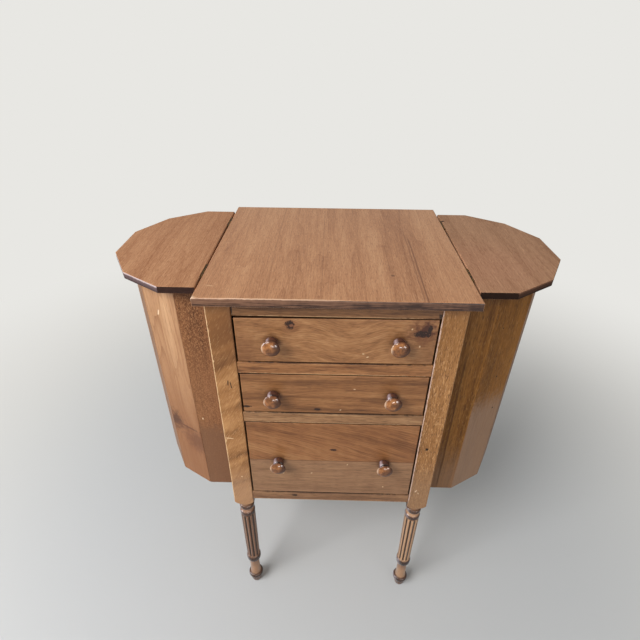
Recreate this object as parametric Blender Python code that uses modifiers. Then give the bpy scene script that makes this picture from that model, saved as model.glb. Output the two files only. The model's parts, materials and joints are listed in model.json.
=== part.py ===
"""Sewing cabinet: a case of three drawers on turned legs, with a lidded pocket on each side.

Units are metres and +Z is up. The drawers face -Y. The origin lies on the floor, under the middle of the
cabinet's box, knobs included. Pieces that touch keep a fitting gap.
"""
import math

import bmesh
import bpy
from mathutils import Matrix

# Fits
FIT = 0.0003
EDGE_ROUND = 0.0012
WELD_DISTANCE = 0.00001

# Fixed top board
OVERALL_HEIGHT = 0.742
TOP_WIDTH = 0.3735
TOP_DEPTH = 0.346
TOP_THICKNESS = 0.0127

# Lids, measured from the edge beside the top board
LID_GAP = 0.0016
LID_THICKNESS = 0.0105
LID_DEPTH = 0.290
LID_FRONT_FLAT = 0.0510
LID_SHOULDER_REACH = 0.1114
LID_SHOULDER_DEPTH = 0.210
LID_REACH = 0.1486
LID_OUTER_FLAT = 0.0812

# Butt hinges in the seams, let into both boards
HINGE_ROOM = 0.0038
HINGE_SPACING = 0.190
HINGE_LENGTH = 0.038
LEAF_HEIGHT = 0.007
LEAF_THICKNESS = 0.0009
KNUCKLE_CLEARANCE = 0.0005
PIN_RADIUS = 0.0006
PIN_GRIP = 0.003

# Case
CASE_WIDTH = 0.352
CASE_DEPTH = 0.319
PANEL_THICKNESS = 0.008
BACK_THICKNESS = 0.006
GROOVE_DEPTH = 0.006
TOP_RAIL_HEIGHT = 0.0222
TOP_RAIL_DEPTH = 0.020
RAIL_HEIGHT = 0.021
RAIL_SETBACK = 0.001
RAIL_DEPTH = 0.045
RUNNER_WIDTH = 0.032
SHALLOW_OPENING = 0.0788
DEEP_OPENING = 0.177

# Legs, from the square post down to the floor
LEG_SIDE = 0.035
POST_BELOW_CASE = 0.0035
SHOULDER_HEIGHT = 0.0155
COLLAR_HEIGHT = 0.0128
COLLAR_DIAMETER = 0.0235
RING_HEIGHT = 0.0105
RING_DIAMETER = 0.0285
COVE_HEIGHT = 0.0085
COVE_DIAMETER = 0.0245
REED_COUNT = 10
REED_DEPTH = 0.0026
REED_RUNOUT = 0.003
REED_TOP_DIAMETER = 0.0276
REED_FOOT_DIAMETER = 0.0254
ANKLE_RING_TOP = 0.1015
ANKLE_RING_HEIGHT = 0.017
ANKLE_RING_DIAMETER = 0.0292
ANKLE_NECK_DIAMETER = 0.0196
ANKLE_NECK_HEIGHT = 0.021
FLARE_DIAMETER = 0.0235
BALL_TOP = 0.0315
BALL_HEIGHT = 0.011
BALL_DIAMETER = 0.0302
TIP_DIAMETER = 0.015

# Drawers
DRAWER_LENGTH = 0.285
DRAWER_SIDE_GAP = 0.0022
DRAWER_TOP_GAP = 0.0026
FRONT_THICKNESS = 0.018
FRONT_LIFT = 0.0007
SIDE_THICKNESS = 0.010
SIDE_DROP = 0.006
BOTTOM_THICKNESS = 0.004
BOTTOM_RISE = 0.008
BOTTOM_GROOVE = 0.005

# Knobs
KNOB_SPACING = 0.176
KNOB_LENGTH = 0.0222
KNOB_DIAMETER = 0.026
KNOB_CROWN_HEIGHT = 0.004
KNOB_RIM_HEIGHT = 0.0016
KNOB_CUP_HEIGHT = 0.0046
KNOB_NECK_DIAMETER = 0.013
KNOB_BASE_DIAMETER = 0.0185
KNOB_BASE_HEIGHT = 0.0095
KNOB_BASE_ROUND = 0.006
TENON_DIAMETER = 0.008
TENON_LENGTH = 0.012

# Pockets, each half of a regular outline under its lid
POCKET_SIDES = 12
LID_OVERHANG = 0.01825
POCKET_DROP = 0.0025
STAVE_THICKNESS = 0.008
FLOOR_THICKNESS = 0.006
FLOOR_RISE = 0.004

# Roundness of the turned pieces, with angles in degrees
SHARP_ANGLE = 40
BEVEL_ANGLE = 20
KNOB_STEPS = 20
KNUCKLE_STEPS = 12
RING_STEPS = 4
CURVE_STEPS = 4

# Finishes: colour, roughness, metallic
FINISHES = {
    "red_brown_board": ((0.41, 0.22, 0.12, 1.0), 0.38, 0.0),
    "golden_post": ((0.38, 0.19, 0.07, 1.0), 0.40, 0.0),
    "golden_front": ((0.31, 0.16, 0.07, 1.0), 0.40, 0.0),
    "olive_stave": ((0.20, 0.11, 0.05, 1.0), 0.45, 0.0),
    "raw_inside": ((0.46, 0.30, 0.16, 1.0), 0.70, 0.0),
    "glossy_knob": ((0.22, 0.09, 0.04, 1.0), 0.22, 0.0),
    "aged_brass": ((0.30, 0.22, 0.10, 1.0), 0.45, 0.9),
}

# Levels, worked out from the top down
UNDER_TOP = OVERALL_HEIGHT - TOP_THICKNESS
UNDER_LID = OVERALL_HEIGHT - LID_THICKNESS
BENEATH_TOP = UNDER_TOP - FIT
OPENINGS = (SHALLOW_OPENING, SHALLOW_OPENING, DEEP_OPENING)
CASE_BOTTOM = BENEATH_TOP - TOP_RAIL_HEIGHT - sum(OPENINGS) - len(OPENINGS) * RAIL_HEIGHT
CASE_HEIGHT = BENEATH_TOP - CASE_BOTTOM

# Places across the case, as half widths and depths
POST_X = (CASE_WIDTH - LEG_SIDE) / 2
POST_Y = (CASE_DEPTH - LEG_SIDE) / 2
OPENING_X = CASE_WIDTH / 2 - LEG_SIDE
INNER_POST_Y = CASE_DEPTH / 2 - LEG_SIDE
PANEL_INNER_X = POST_X - PANEL_THICKNESS / 2
PANEL_OUTER_X = POST_X + PANEL_THICKNESS / 2
RAIL_FACE_Y = -CASE_DEPTH / 2 + RAIL_SETBACK
BACK_PANEL_Y = POST_Y - BACK_THICKNESS / 2

# Hinge seams
SEAM_X = (TOP_WIDTH + LID_GAP) / 2
LID_EDGE_X = TOP_WIDTH / 2 + LID_GAP
KNUCKLE_RADIUS = HINGE_ROOM / 2 - KNUCKLE_CLEARANCE
PIN_Z = OVERALL_HEIGHT - KNUCKLE_RADIUS
HINGE_ENDS = (("front", -HINGE_SPACING / 2), ("back", HINGE_SPACING / 2))

# The box is centred on the origin from the knobs to the back of the top
KNOB_TIP_Y = RAIL_FACE_Y - FIT - KNOB_LENGTH
CENTRING_Y = -(KNOB_TIP_Y + TOP_DEPTH / 2) / 2


def clear_scene():
    """Remove whatever the scene holds."""
    for old in list(bpy.data.objects):
        bpy.data.objects.remove(old, do_unlink=True)


def add_collection(name):
    """Return a new collection under the scene's own."""
    collection = bpy.data.collections.new(name)
    bpy.context.scene.collection.children.link(collection)
    return collection


def add_empty(name, location, parent=None):
    """Return an empty that carries pieces."""
    empty = bpy.data.objects.new(name, None)
    empty.location = location
    empty.parent = parent
    PARTS.objects.link(empty)
    return empty


def add_finish(piece, finish):
    """Give a piece its own material in one of the finishes."""
    colour, roughness, metallic = FINISHES[finish]
    material = bpy.data.materials.new(piece.name + "_finish")
    material.use_nodes = True
    shader = material.node_tree.nodes["Principled BSDF"]
    shader.inputs["Base Color"].default_value = colour
    shader.inputs["Roughness"].default_value = roughness
    shader.inputs["Metallic"].default_value = metallic
    material.diffuse_color = colour
    piece.data.materials.append(material)


def place(name, mesh, parent, location, finish, rotation=(0, 0, 0)):
    """Return a named piece of the cabinet."""
    piece = bpy.data.objects.new(name, mesh)
    piece.parent = parent
    piece.location = location
    piece.rotation_euler = rotation
    PARTS.objects.link(piece)
    add_finish(piece, finish)
    return piece


def place_cutter(name, mesh, parent, location, rotation=(0, 0, 0)):
    """Return a helper body that shapes pieces and isn't one itself."""
    cutter = bpy.data.objects.new(name, mesh)
    cutter.parent = parent
    cutter.location = location
    cutter.rotation_euler = rotation
    cutter.hide_render = True
    cutter.display_type = "WIRE"
    CUTTERS.objects.link(cutter)
    return cutter


def box_mesh(size_x, size_y, size_z):
    """Return a box about its own middle."""
    shape = bmesh.new()
    bmesh.ops.create_cube(shape, size=1.0, matrix=Matrix.Diagonal((size_x, size_y, size_z, 1.0)))
    mesh = bpy.data.meshes.new("box")
    shape.to_mesh(mesh)
    shape.free()
    return mesh


def rod_mesh(radius, length, steps):
    """Return a round rod along Z about its own middle."""
    shape = bmesh.new()
    bmesh.ops.create_cone(shape, cap_ends=True, segments=steps,
                          radius1=radius, radius2=radius, depth=length)
    mesh = bpy.data.meshes.new("rod")
    shape.to_mesh(mesh)
    shape.free()
    return mesh


def evaluated_mesh(source):
    """Return the welded mesh of an object with its modifiers, and remove the object."""
    PARTS.objects.link(source)
    graph = bpy.context.evaluated_depsgraph_get()
    mesh = bpy.data.meshes.new_from_object(source.evaluated_get(graph))
    bpy.data.objects.remove(source, do_unlink=True)
    shape = bmesh.new()
    shape.from_mesh(mesh)
    bmesh.ops.remove_doubles(shape, verts=shape.verts, dist=WELD_DISTANCE)
    shape.to_mesh(mesh)
    shape.free()
    return mesh


def plate_mesh(outlines, thickness):
    """Return a flat plate of closed outlines in XY, the later ones being holes, about Z = 0."""
    curve = bpy.data.curves.new("outline", "CURVE")
    curve.dimensions = "2D"
    curve.fill_mode = "BOTH"
    curve.extrude = thickness / 2
    for outline in outlines:
        spline = curve.splines.new("POLY")
        spline.points.add(len(outline) - 1)
        for point, (x, y) in zip(spline.points, outline):
            point.co = (x, y, 0.0, 1.0)
        spline.use_cyclic_u = True
    return evaluated_mesh(bpy.data.objects.new("outline", curve))


def turned_mesh(profile, steps):
    """Return the body that a profile of (radius, height), listed from the top down, sweeps about Z."""
    mesh = bpy.data.meshes.new("profile")
    points = [(radius, 0.0, height) for radius, height in profile]
    mesh.from_pydata(points, [(i, i + 1) for i in range(len(points) - 1)], [])
    source = bpy.data.objects.new("profile", mesh)
    screw = source.modifiers.new("turn", "SCREW")
    screw.axis = "Z"
    screw.steps = steps
    screw.render_steps = steps
    screw.use_merge_vertices = True
    screw.merge_threshold = WELD_DISTANCE
    return evaluated_mesh(source)


def shade_round(mesh):
    """Shade a turned mesh smooth, with its sharp edges kept."""
    mesh.shade_smooth()
    mesh.set_sharp_from_angle(angle=math.radians(SHARP_ANGLE))


def soften(piece):
    """Take the sharp arris off a board."""
    bevel = piece.modifiers.new("soft_edges", "BEVEL")
    bevel.width = EDGE_ROUND
    bevel.limit_method = "ANGLE"
    bevel.angle_limit = math.radians(BEVEL_ANGLE)


def combine(piece, other, operation):
    """Cut or join a piece with a helper body."""
    boolean = piece.modifiers.new(operation.lower(), "BOOLEAN")
    boolean.operation = operation
    boolean.solver = "EXACT"
    boolean.object = other


def arc(radius, start, end, steps):
    """Return points on a circle about (0, 0), with angles in degrees."""
    points = []
    for step in range(steps + 1):
        angle = math.radians(start + (end - start) * step / steps)
        points.append((radius * math.cos(angle), radius * math.sin(angle)))
    return points


def bead(top, height, side_radius, radius):
    """Return the profile of a half-round ring, from its top down."""
    points = []
    for step in range(RING_STEPS + 1):
        angle = math.pi * step / RING_STEPS
        rise = math.cos(angle) * height / 2
        points.append((side_radius + (radius - side_radius) * math.sin(angle), top - height / 2 + rise))
    return points


def rounded_in(radius, top, end_radius, end):
    """Return a quarter round that leaves its start straight down and turns level to its end."""
    points = []
    for step in range(1, CURVE_STEPS + 1):
        angle = math.pi / 2 * step / CURVE_STEPS
        height = top - (top - end) * math.sin(angle)
        points.append((end_radius + (radius - end_radius) * math.cos(angle), height))
    return points


def rounded_out(radius, top, end_radius, end):
    """Return a quarter round that leaves its start level and turns straight down to its end."""
    points = []
    for step in range(1, CURVE_STEPS + 1):
        angle = math.pi / 2 * step / CURVE_STEPS
        height = end + (top - end) * math.cos(angle)
        points.append((radius + (end_radius - radius) * math.sin(angle), height))
    return points


def domed(radius, top, end):
    """Return a shallow dome from the middle of its top out to its rim."""
    points = []
    for step in range(1, CURVE_STEPS + 1):
        part = step / CURVE_STEPS
        points.append((radius * part, top - (top - end) * part ** 2))
    return points


def add_top():
    """The fixed middle board of the top, with room for the hinges in both its edges."""
    mesh = box_mesh(TOP_WIDTH, TOP_DEPTH, TOP_THICKNESS)
    middle = (0, 0, OVERALL_HEIGHT - TOP_THICKNESS / 2)
    board = place("top_board", mesh, CABINET, middle, "red_brown_board")
    soften(board)
    for side, sign in (("left", -1), ("right", 1)):
        for end, middle_y in HINGE_ENDS:
            cut_hinge_room(board, "top_" + side + "_" + end + "_hinge_room", CABINET,
                           (sign * SEAM_X, middle_y, PIN_Z))


def cut_hinge_room(board, name, parent, seam):
    """Let one hinge into the edge of a board, from above."""
    height = 2 * (LEAF_HEIGHT + FIT)
    room = box_mesh(HINGE_ROOM, HINGE_LENGTH + 2 * FIT, height)
    combine(board, place_cutter(name, room, parent, seam), "DIFFERENCE")


def leg_profile():
    """Return the profile of a leg and the heights between which it is reeded."""
    corner = LEG_SIDE / math.sqrt(2) + EDGE_ROUND
    blank_top = BENEATH_TOP + LEG_SIDE
    post_end = CASE_BOTTOM - POST_BELOW_CASE
    shoulder_end = post_end - SHOULDER_HEIGHT
    upper_ring = shoulder_end - COLLAR_HEIGHT
    cove = upper_ring - RING_HEIGHT
    lower_ring = cove - COVE_HEIGHT
    reed_top = lower_ring - RING_HEIGHT - REED_RUNOUT
    reed_end = ANKLE_RING_TOP + REED_RUNOUT
    ankle = ANKLE_RING_TOP - ANKLE_RING_HEIGHT
    neck_end = ankle - ANKLE_NECK_HEIGHT
    collar = COLLAR_DIAMETER / 2
    neck = ANKLE_NECK_DIAMETER / 2
    flared = FLARE_DIAMETER / 2

    profile = [(0, blank_top), (corner, blank_top), (corner, post_end)]
    profile += rounded_in(corner, post_end, collar, shoulder_end)
    profile += bead(upper_ring, RING_HEIGHT, collar, RING_DIAMETER / 2)
    profile += [(COVE_DIAMETER / 2, cove - COVE_HEIGHT / 2)]
    profile += bead(lower_ring, RING_HEIGHT, COVE_DIAMETER / 2, RING_DIAMETER / 2)
    profile += [(REED_TOP_DIAMETER / 2, reed_top), (REED_FOOT_DIAMETER / 2, reed_end)]
    profile += bead(ANKLE_RING_TOP, ANKLE_RING_HEIGHT, REED_FOOT_DIAMETER / 2, ANKLE_RING_DIAMETER / 2)
    profile += [(neck, ankle - EDGE_ROUND), (neck, neck_end)]
    profile += rounded_in(neck, neck_end, flared, BALL_TOP)
    profile += bead(BALL_TOP, BALL_HEIGHT, flared, BALL_DIAMETER / 2)[1:]
    profile += rounded_in(flared, BALL_TOP - BALL_HEIGHT, TIP_DIAMETER / 2, 0)
    profile += [(0, 0)]
    return profile, (reed_top, reed_end)


def leg_mesh():
    """Return a leg about its own axis: a turned blank, reeded, then squared above."""
    profile, reed_heights = leg_profile()
    blank = turned_mesh(profile, 2 * REED_COUNT)
    for vertex in blank.vertices:
        if not any(abs(vertex.co.z - height) < FIT for height in reed_heights):
            continue
        step = round(math.atan2(vertex.co.y, vertex.co.x) * REED_COUNT / math.pi)
        if step % 2:
            radius = math.hypot(vertex.co.x, vertex.co.y)
            vertex.co.x *= 1 - REED_DEPTH / radius
            vertex.co.y *= 1 - REED_DEPTH / radius
    turned = bpy.data.objects.new("turned_leg", blank)
    square = place_cutter("post_square", box_mesh(LEG_SIDE, LEG_SIDE, 2 * BENEATH_TOP), None, (0, 0, 0))
    combine(turned, square, "INTERSECT")
    mesh = evaluated_mesh(turned)
    shade_round(mesh)
    return mesh


def add_panels():
    """The side and back panels, and bodies for the grooves that they sit in."""
    side_length = 2 * (INNER_POST_Y + GROOVE_DEPTH) - 2 * FIT
    back_length = 2 * (OPENING_X + GROOVE_DEPTH) - 2 * FIT
    middle_z = CASE_BOTTOM + CASE_HEIGHT / 2
    grooves = {}
    for side, sign in (("left", -1), ("right", 1)):
        location = (sign * POST_X, 0, middle_z)
        panel = box_mesh(PANEL_THICKNESS, side_length, CASE_HEIGHT)
        place(side + "_side_panel", panel, CABINET, location, "olive_stave")
        room = box_mesh(PANEL_THICKNESS + 2 * FIT, side_length + 2 * FIT, CASE_HEIGHT + 2 * FIT)
        grooves[side] = place_cutter(side + "_groove", room, CABINET, location)
    location = (0, POST_Y, middle_z)
    panel = box_mesh(back_length, BACK_THICKNESS, CASE_HEIGHT)
    place("back_panel", panel, CABINET, location, "raw_inside")
    room = box_mesh(back_length + 2 * FIT, BACK_THICKNESS + 2 * FIT, CASE_HEIGHT + 2 * FIT)
    grooves["back"] = place_cutter("back_groove", room, CABINET, location)
    return grooves


def add_legs(grooves):
    """Four legs, each grooved for the panels that meet it."""
    blank = leg_mesh()
    for end, sign_y in (("front", -1), ("back", 1)):
        for side, sign_x in (("left", -1), ("right", 1)):
            location = (sign_x * POST_X, sign_y * POST_Y, 0)
            leg = place(end + "_" + side + "_leg", blank.copy(), CABINET, location, "golden_post")
            combine(leg, grooves[side], "DIFFERENCE")
            if end == "back":
                combine(leg, grooves["back"], "DIFFERENCE")


def add_rails():
    """The two rails under the top board."""
    width = 2 * (OPENING_X - FIT)
    height = BENEATH_TOP - TOP_RAIL_HEIGHT / 2
    rows = (("top_front_rail", RAIL_FACE_Y + TOP_RAIL_DEPTH / 2),
            ("top_back_rail", BACK_PANEL_Y - FIT - TOP_RAIL_DEPTH / 2))
    for name, middle_y in rows:
        rail = box_mesh(width, TOP_RAIL_DEPTH, TOP_RAIL_HEIGHT)
        place(name, rail, CABINET, (0, middle_y, height), "golden_front")


def add_drawer_frame(name, top):
    """A glued frame of front rail, runners and back rail, fitted round the posts."""
    narrow = OPENING_X - FIT
    wide = PANEL_INNER_X - FIT
    behind_posts = INNER_POST_Y - FIT
    back = BACK_PANEL_Y - FIT
    half = [(narrow, RAIL_FACE_Y), (narrow, -behind_posts), (wide, -behind_posts),
            (wide, behind_posts), (narrow, behind_posts), (narrow, back)]
    outline = half + [(-x, y) for x, y in reversed(half)]
    inner = wide - RUNNER_WIDTH
    hole = [(inner, RAIL_FACE_Y + RAIL_DEPTH), (inner, back - RAIL_DEPTH),
            (-inner, back - RAIL_DEPTH), (-inner, RAIL_FACE_Y + RAIL_DEPTH)]
    mesh = plate_mesh([outline, hole], RAIL_HEIGHT)
    place(name, mesh, CABINET, (0, 0, top - RAIL_HEIGHT / 2), "golden_front")


def knob_profile():
    """Return the profile of a knob with its tenon, with the drawer's face at zero."""
    head = KNOB_DIAMETER / 2
    neck = KNOB_NECK_DIAMETER / 2
    base = KNOB_BASE_DIAMETER / 2
    tenon = TENON_DIAMETER / 2
    widest = KNOB_LENGTH - KNOB_CROWN_HEIGHT
    under_rim = widest - KNOB_RIM_HEIGHT
    cup_end = under_rim - KNOB_CUP_HEIGHT
    profile = [(0, KNOB_LENGTH)]
    profile += domed(head, KNOB_LENGTH, widest)
    profile += [(head, under_rim)]
    profile += rounded_in(head, under_rim, neck, cup_end)
    profile += [(neck, KNOB_BASE_HEIGHT)]
    profile += rounded_out(neck, KNOB_BASE_HEIGHT, base, KNOB_BASE_HEIGHT - KNOB_BASE_ROUND)
    profile += [(base, 0), (tenon, 0), (tenon, -TENON_LENGTH), (0, -TENON_LENGTH)]
    return profile


def add_drawer(name, opening_bottom, opening_height, knob):
    """One drawer box with its front and knobs, carried by an empty at the opening."""
    slide = add_empty(name + "_slide", (0, RAIL_FACE_Y, opening_bottom), CABINET)
    half_width = OPENING_X - DRAWER_SIDE_GAP
    front_height = opening_height - FRONT_LIFT - DRAWER_TOP_GAP
    front_middle = FRONT_LIFT + front_height / 2
    side_bottom = FIT
    side_height = front_height - SIDE_DROP
    side_length = DRAWER_LENGTH - FRONT_THICKNESS - FIT
    side_middle = FRONT_THICKNESS + FIT + side_length / 2
    bottom_middle = side_bottom + BOTTOM_RISE + BOTTOM_THICKNESS / 2
    inner_x = half_width - SIDE_THICKNESS

    board = box_mesh(2 * half_width, FRONT_THICKNESS, front_height)
    front = place(name + "_front", board, slide, (0, FRONT_THICKNESS / 2, front_middle), "golden_front")
    soften(front)
    groove = box_mesh(2 * (inner_x + BOTTOM_GROOVE), 2 * BOTTOM_GROOVE, BOTTOM_THICKNESS + 2 * FIT)
    combine(front, place_cutter(name + "_front_groove", groove, slide,
                                (0, FRONT_THICKNESS, bottom_middle)), "DIFFERENCE")

    groove_low = BOTTOM_RISE - FIT
    groove_high = BOTTOM_RISE + BOTTOM_THICKNESS + FIT
    groove_x = SIDE_THICKNESS - BOTTOM_GROOVE
    grooved = [(0, 0), (SIDE_THICKNESS, 0), (SIDE_THICKNESS, groove_low), (groove_x, groove_low),
               (groove_x, groove_high), (SIDE_THICKNESS, groove_high),
               (SIDE_THICKNESS, side_height), (0, side_height)]
    for side, sign in (("left", -1), ("right", 1)):
        outline = [(-sign * x, y) for x, y in grooved]
        place(name + "_" + side + "_side", plate_mesh([outline], side_length), slide,
              (sign * half_width, side_middle, side_bottom), "raw_inside", (math.pi / 2, 0, 0))
        knob_x = sign * KNOB_SPACING / 2
        hole = rod_mesh(TENON_DIAMETER / 2 + FIT, 2 * (TENON_LENGTH + FIT), KNOB_STEPS)
        combine(front, place_cutter(name + "_" + side + "_knob_hole", hole, slide,
                                    (knob_x, -FIT, front_middle), (math.pi / 2, 0, 0)), "DIFFERENCE")
        place(name + "_" + side + "_knob", knob.copy(), slide,
              (knob_x, -FIT, front_middle), "glossy_knob", (math.pi / 2, 0, 0))

    back_bottom = side_bottom + groove_high
    back_height = side_bottom + side_height - back_bottom
    place(name + "_back", box_mesh(2 * (inner_x - FIT), SIDE_THICKNESS, back_height), slide,
          (0, DRAWER_LENGTH - SIDE_THICKNESS / 2, back_bottom + back_height / 2), "raw_inside")
    bottom_width = 2 * (inner_x + BOTTOM_GROOVE - FIT)
    bottom_front = FRONT_THICKNESS - BOTTOM_GROOVE + FIT
    place(name + "_bottom", box_mesh(bottom_width, DRAWER_LENGTH - bottom_front, BOTTOM_THICKNESS), slide,
          (0, (DRAWER_LENGTH + bottom_front) / 2, bottom_middle), "raw_inside")


def pocket_corners(reach, half_depth):
    """Return the corners of half a regular outline, front to back, for a pocket to the right."""
    middle_x = reach - half_depth
    half_turn = 180 / POCKET_SIDES
    radius = half_depth / math.cos(math.radians(half_turn))
    facets = POCKET_SIDES // 2 - 1
    corners = [(middle_x + x, y) for x, y in arc(radius, -facets * half_turn, facets * half_turn, facets)]
    return [(PANEL_OUTER_X + FIT, -half_depth)] + corners + [(PANEL_OUTER_X + FIT, half_depth)]


def shortened(start, end, amount):
    """Return the two ends of a line, each drawn in by an amount."""
    length = math.dist(start, end)
    step_x = (end[0] - start[0]) * amount / length
    step_y = (end[1] - start[1]) * amount / length
    return (start[0] + step_x, start[1] + step_y), (end[0] - step_x, end[1] - step_y)


def add_pocket(side, sign, top_room):
    """The staves and floor of one pocket."""
    reach = LID_EDGE_X + LID_REACH - LID_OVERHANG
    half_depth = INNER_POST_Y - FIT
    outer = pocket_corners(reach, half_depth)
    inner = pocket_corners(reach - STAVE_THICKNESS, half_depth - STAVE_THICKNESS)
    bottom = CASE_BOTTOM - POCKET_DROP
    top = UNDER_LID - FIT
    names = ("front", "front_corner", "front_bevel", "outer", "back_bevel", "back_corner", "back")
    for index, name in enumerate(names):
        outer_start, outer_end = shortened(outer[index], outer[index + 1], FIT / 2)
        inner_start, inner_end = shortened(inner[index], inner[index + 1], FIT / 2)
        outline = [(sign * x, y) for x, y in (outer_start, outer_end, inner_end, inner_start)]
        stave = place(side + "_pocket_" + name + "_stave", plate_mesh([outline], top - bottom), CABINET,
                      (0, 0, (top + bottom) / 2), "olive_stave")
        if name in ("front", "back"):
            combine(stave, top_room, "DIFFERENCE")
    outline = pocket_corners(reach - STAVE_THICKNESS - FIT, half_depth - STAVE_THICKNESS - FIT)
    outline = [(sign * x, y) for x, y in outline]
    place(side + "_pocket_floor", plate_mesh([outline], FLOOR_THICKNESS), CABINET,
          (0, 0, bottom + FLOOR_RISE + FLOOR_THICKNESS / 2), "raw_inside")


def add_lid(side, sign):
    """One lid, carried by an empty on its hinge axis, with its two hinges."""
    swing = add_empty(side + "_lid_swing", (sign * SEAM_X, 0, PIN_Z), CABINET)
    edge = LID_EDGE_X - SEAM_X
    half = [(edge, -LID_DEPTH / 2), (edge + LID_FRONT_FLAT, -LID_DEPTH / 2),
            (edge + LID_SHOULDER_REACH, -LID_SHOULDER_DEPTH / 2),
            (edge + LID_REACH, -LID_OUTER_FLAT / 2)]
    outline = half + [(x, -y) for x, y in reversed(half)]
    lid = place(side + "_lid", plate_mesh([[(sign * x, y) for x, y in outline]], LID_THICKNESS), swing,
                (0, 0, OVERALL_HEIGHT - PIN_Z - LID_THICKNESS / 2), "red_brown_board")
    soften(lid)
    for end, middle_y in HINGE_ENDS:
        cut_hinge_room(lid, side + "_lid_" + end + "_hinge_room", swing, (0, middle_y, 0))
        add_hinge(side + "_" + end + "_hinge", sign, middle_y, swing)


def leaf_mesh(sign, bore_radius):
    """Return a leaf rolled round the hinge axis, its plate hanging down on one side of it."""
    face = HINGE_ROOM / 2 - FIT
    inside = face - LEAF_THICKNESS
    meet = 360 - math.degrees(math.acos(inside / KNUCKLE_RADIUS))
    outline = [(face, -LEAF_HEIGHT), (face, 0)]
    outline += arc(KNUCKLE_RADIUS, 0, meet, KNUCKLE_STEPS)
    outline += [(inside, -LEAF_HEIGHT)]
    outlines = [[(sign * x, y) for x, y in outline]]
    if bore_radius:
        outlines.append(arc(bore_radius, 0, 360, KNUCKLE_STEPS)[:-1])
    return plate_mesh(outlines, HINGE_LENGTH)


def add_hinge(name, sign, middle_y, swing):
    """A butt hinge: a leaf on the lid with the middle knuckle, and one on the top with the pin."""
    upright = (math.pi / 2, 0, 0)
    knuckle = HINGE_LENGTH / 3
    room_x = HINGE_ROOM + 2 * KNUCKLE_RADIUS
    room_z = 2 * (KNUCKLE_RADIUS + FIT)
    seam = (sign * SEAM_X, middle_y, PIN_Z)

    lid_leaf = place(name + "_lid_leaf", leaf_mesh(sign, PIN_RADIUS + FIT), swing, (0, middle_y, 0),
                     "aged_brass", upright)
    end_room = knuckle + FIT
    for end, sign_y in (("front", -1), ("back", 1)):
        cutter = place_cutter(name + "_" + end + "_room", box_mesh(room_x, 2 * end_room, room_z), swing,
                              (0, middle_y + sign_y * HINGE_LENGTH / 2, 0))
        combine(lid_leaf, cutter, "DIFFERENCE")

    top_leaf = place(name + "_top_leaf", leaf_mesh(-sign, 0), CABINET, seam, "aged_brass", upright)
    middle_room = box_mesh(room_x, knuckle + FIT, room_z)
    combine(top_leaf, place_cutter(name + "_middle_room", middle_room, CABINET, seam), "DIFFERENCE")
    pin = rod_mesh(PIN_RADIUS, knuckle + 2 * PIN_GRIP, KNUCKLE_STEPS)
    combine(top_leaf, place_cutter(name + "_pin", pin, CABINET, seam, upright), "UNION")


clear_scene()
PARTS = add_collection("sewing_cabinet")
CUTTERS = add_collection("cutters")
CABINET = add_empty("cabinet", (0, CENTRING_Y, 0))

add_top()
add_legs(add_panels())
add_rails()

knob_shape = turned_mesh(knob_profile(), KNOB_STEPS)
shade_round(knob_shape)
level = BENEATH_TOP - TOP_RAIL_HEIGHT
for drawer_name, opening in zip(("upper_drawer", "middle_drawer", "lower_drawer"), OPENINGS):
    level -= opening
    add_drawer(drawer_name, level, opening, knob_shape)
    add_drawer_frame(drawer_name + "_frame", level)
    level -= RAIL_HEIGHT

board_room = box_mesh(TOP_WIDTH + 2 * FIT, TOP_DEPTH, TOP_THICKNESS)
under_board = place_cutter("top_board_room", board_room, CABINET, (0, 0, BENEATH_TOP + TOP_THICKNESS / 2))
for side_name, direction in (("left", -1), ("right", 1)):
    add_pocket(side_name, direction, under_board)
    add_lid(side_name, direction)
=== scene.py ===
import json
import math
from collections import namedtuple

import bmesh
import bpy
from mathutils import Matrix, Vector, geometry


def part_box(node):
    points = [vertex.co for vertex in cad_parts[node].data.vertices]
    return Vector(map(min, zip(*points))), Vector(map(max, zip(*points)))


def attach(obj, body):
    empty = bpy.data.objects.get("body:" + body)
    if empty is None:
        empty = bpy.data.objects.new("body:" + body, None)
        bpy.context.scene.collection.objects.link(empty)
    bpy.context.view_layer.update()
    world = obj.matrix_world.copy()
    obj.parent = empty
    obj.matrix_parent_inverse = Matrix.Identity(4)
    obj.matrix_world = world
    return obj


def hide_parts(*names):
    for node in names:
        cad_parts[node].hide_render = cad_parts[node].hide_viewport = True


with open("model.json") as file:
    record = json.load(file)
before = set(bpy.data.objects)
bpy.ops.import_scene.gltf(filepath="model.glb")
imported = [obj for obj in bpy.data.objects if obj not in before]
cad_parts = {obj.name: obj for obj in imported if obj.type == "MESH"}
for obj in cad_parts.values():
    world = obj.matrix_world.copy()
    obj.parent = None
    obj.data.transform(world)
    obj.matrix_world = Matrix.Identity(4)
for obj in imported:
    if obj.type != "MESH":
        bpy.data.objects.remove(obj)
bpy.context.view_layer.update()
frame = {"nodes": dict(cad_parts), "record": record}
cadNodes = frame["nodes"]
bodyOf = {node: body for body, members in frame["record"]["behaviour"]["bodies"].items()
          for node in members}
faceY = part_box("upper_drawer_front")[0].y
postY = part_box("front_left_leg")[0].y
topLow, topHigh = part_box("top_board")
seamX = (topHigh.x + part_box("right_lid")[0].x) / 2  # the lids hinge here
drawers = ("upper", "middle", "lower")


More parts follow.
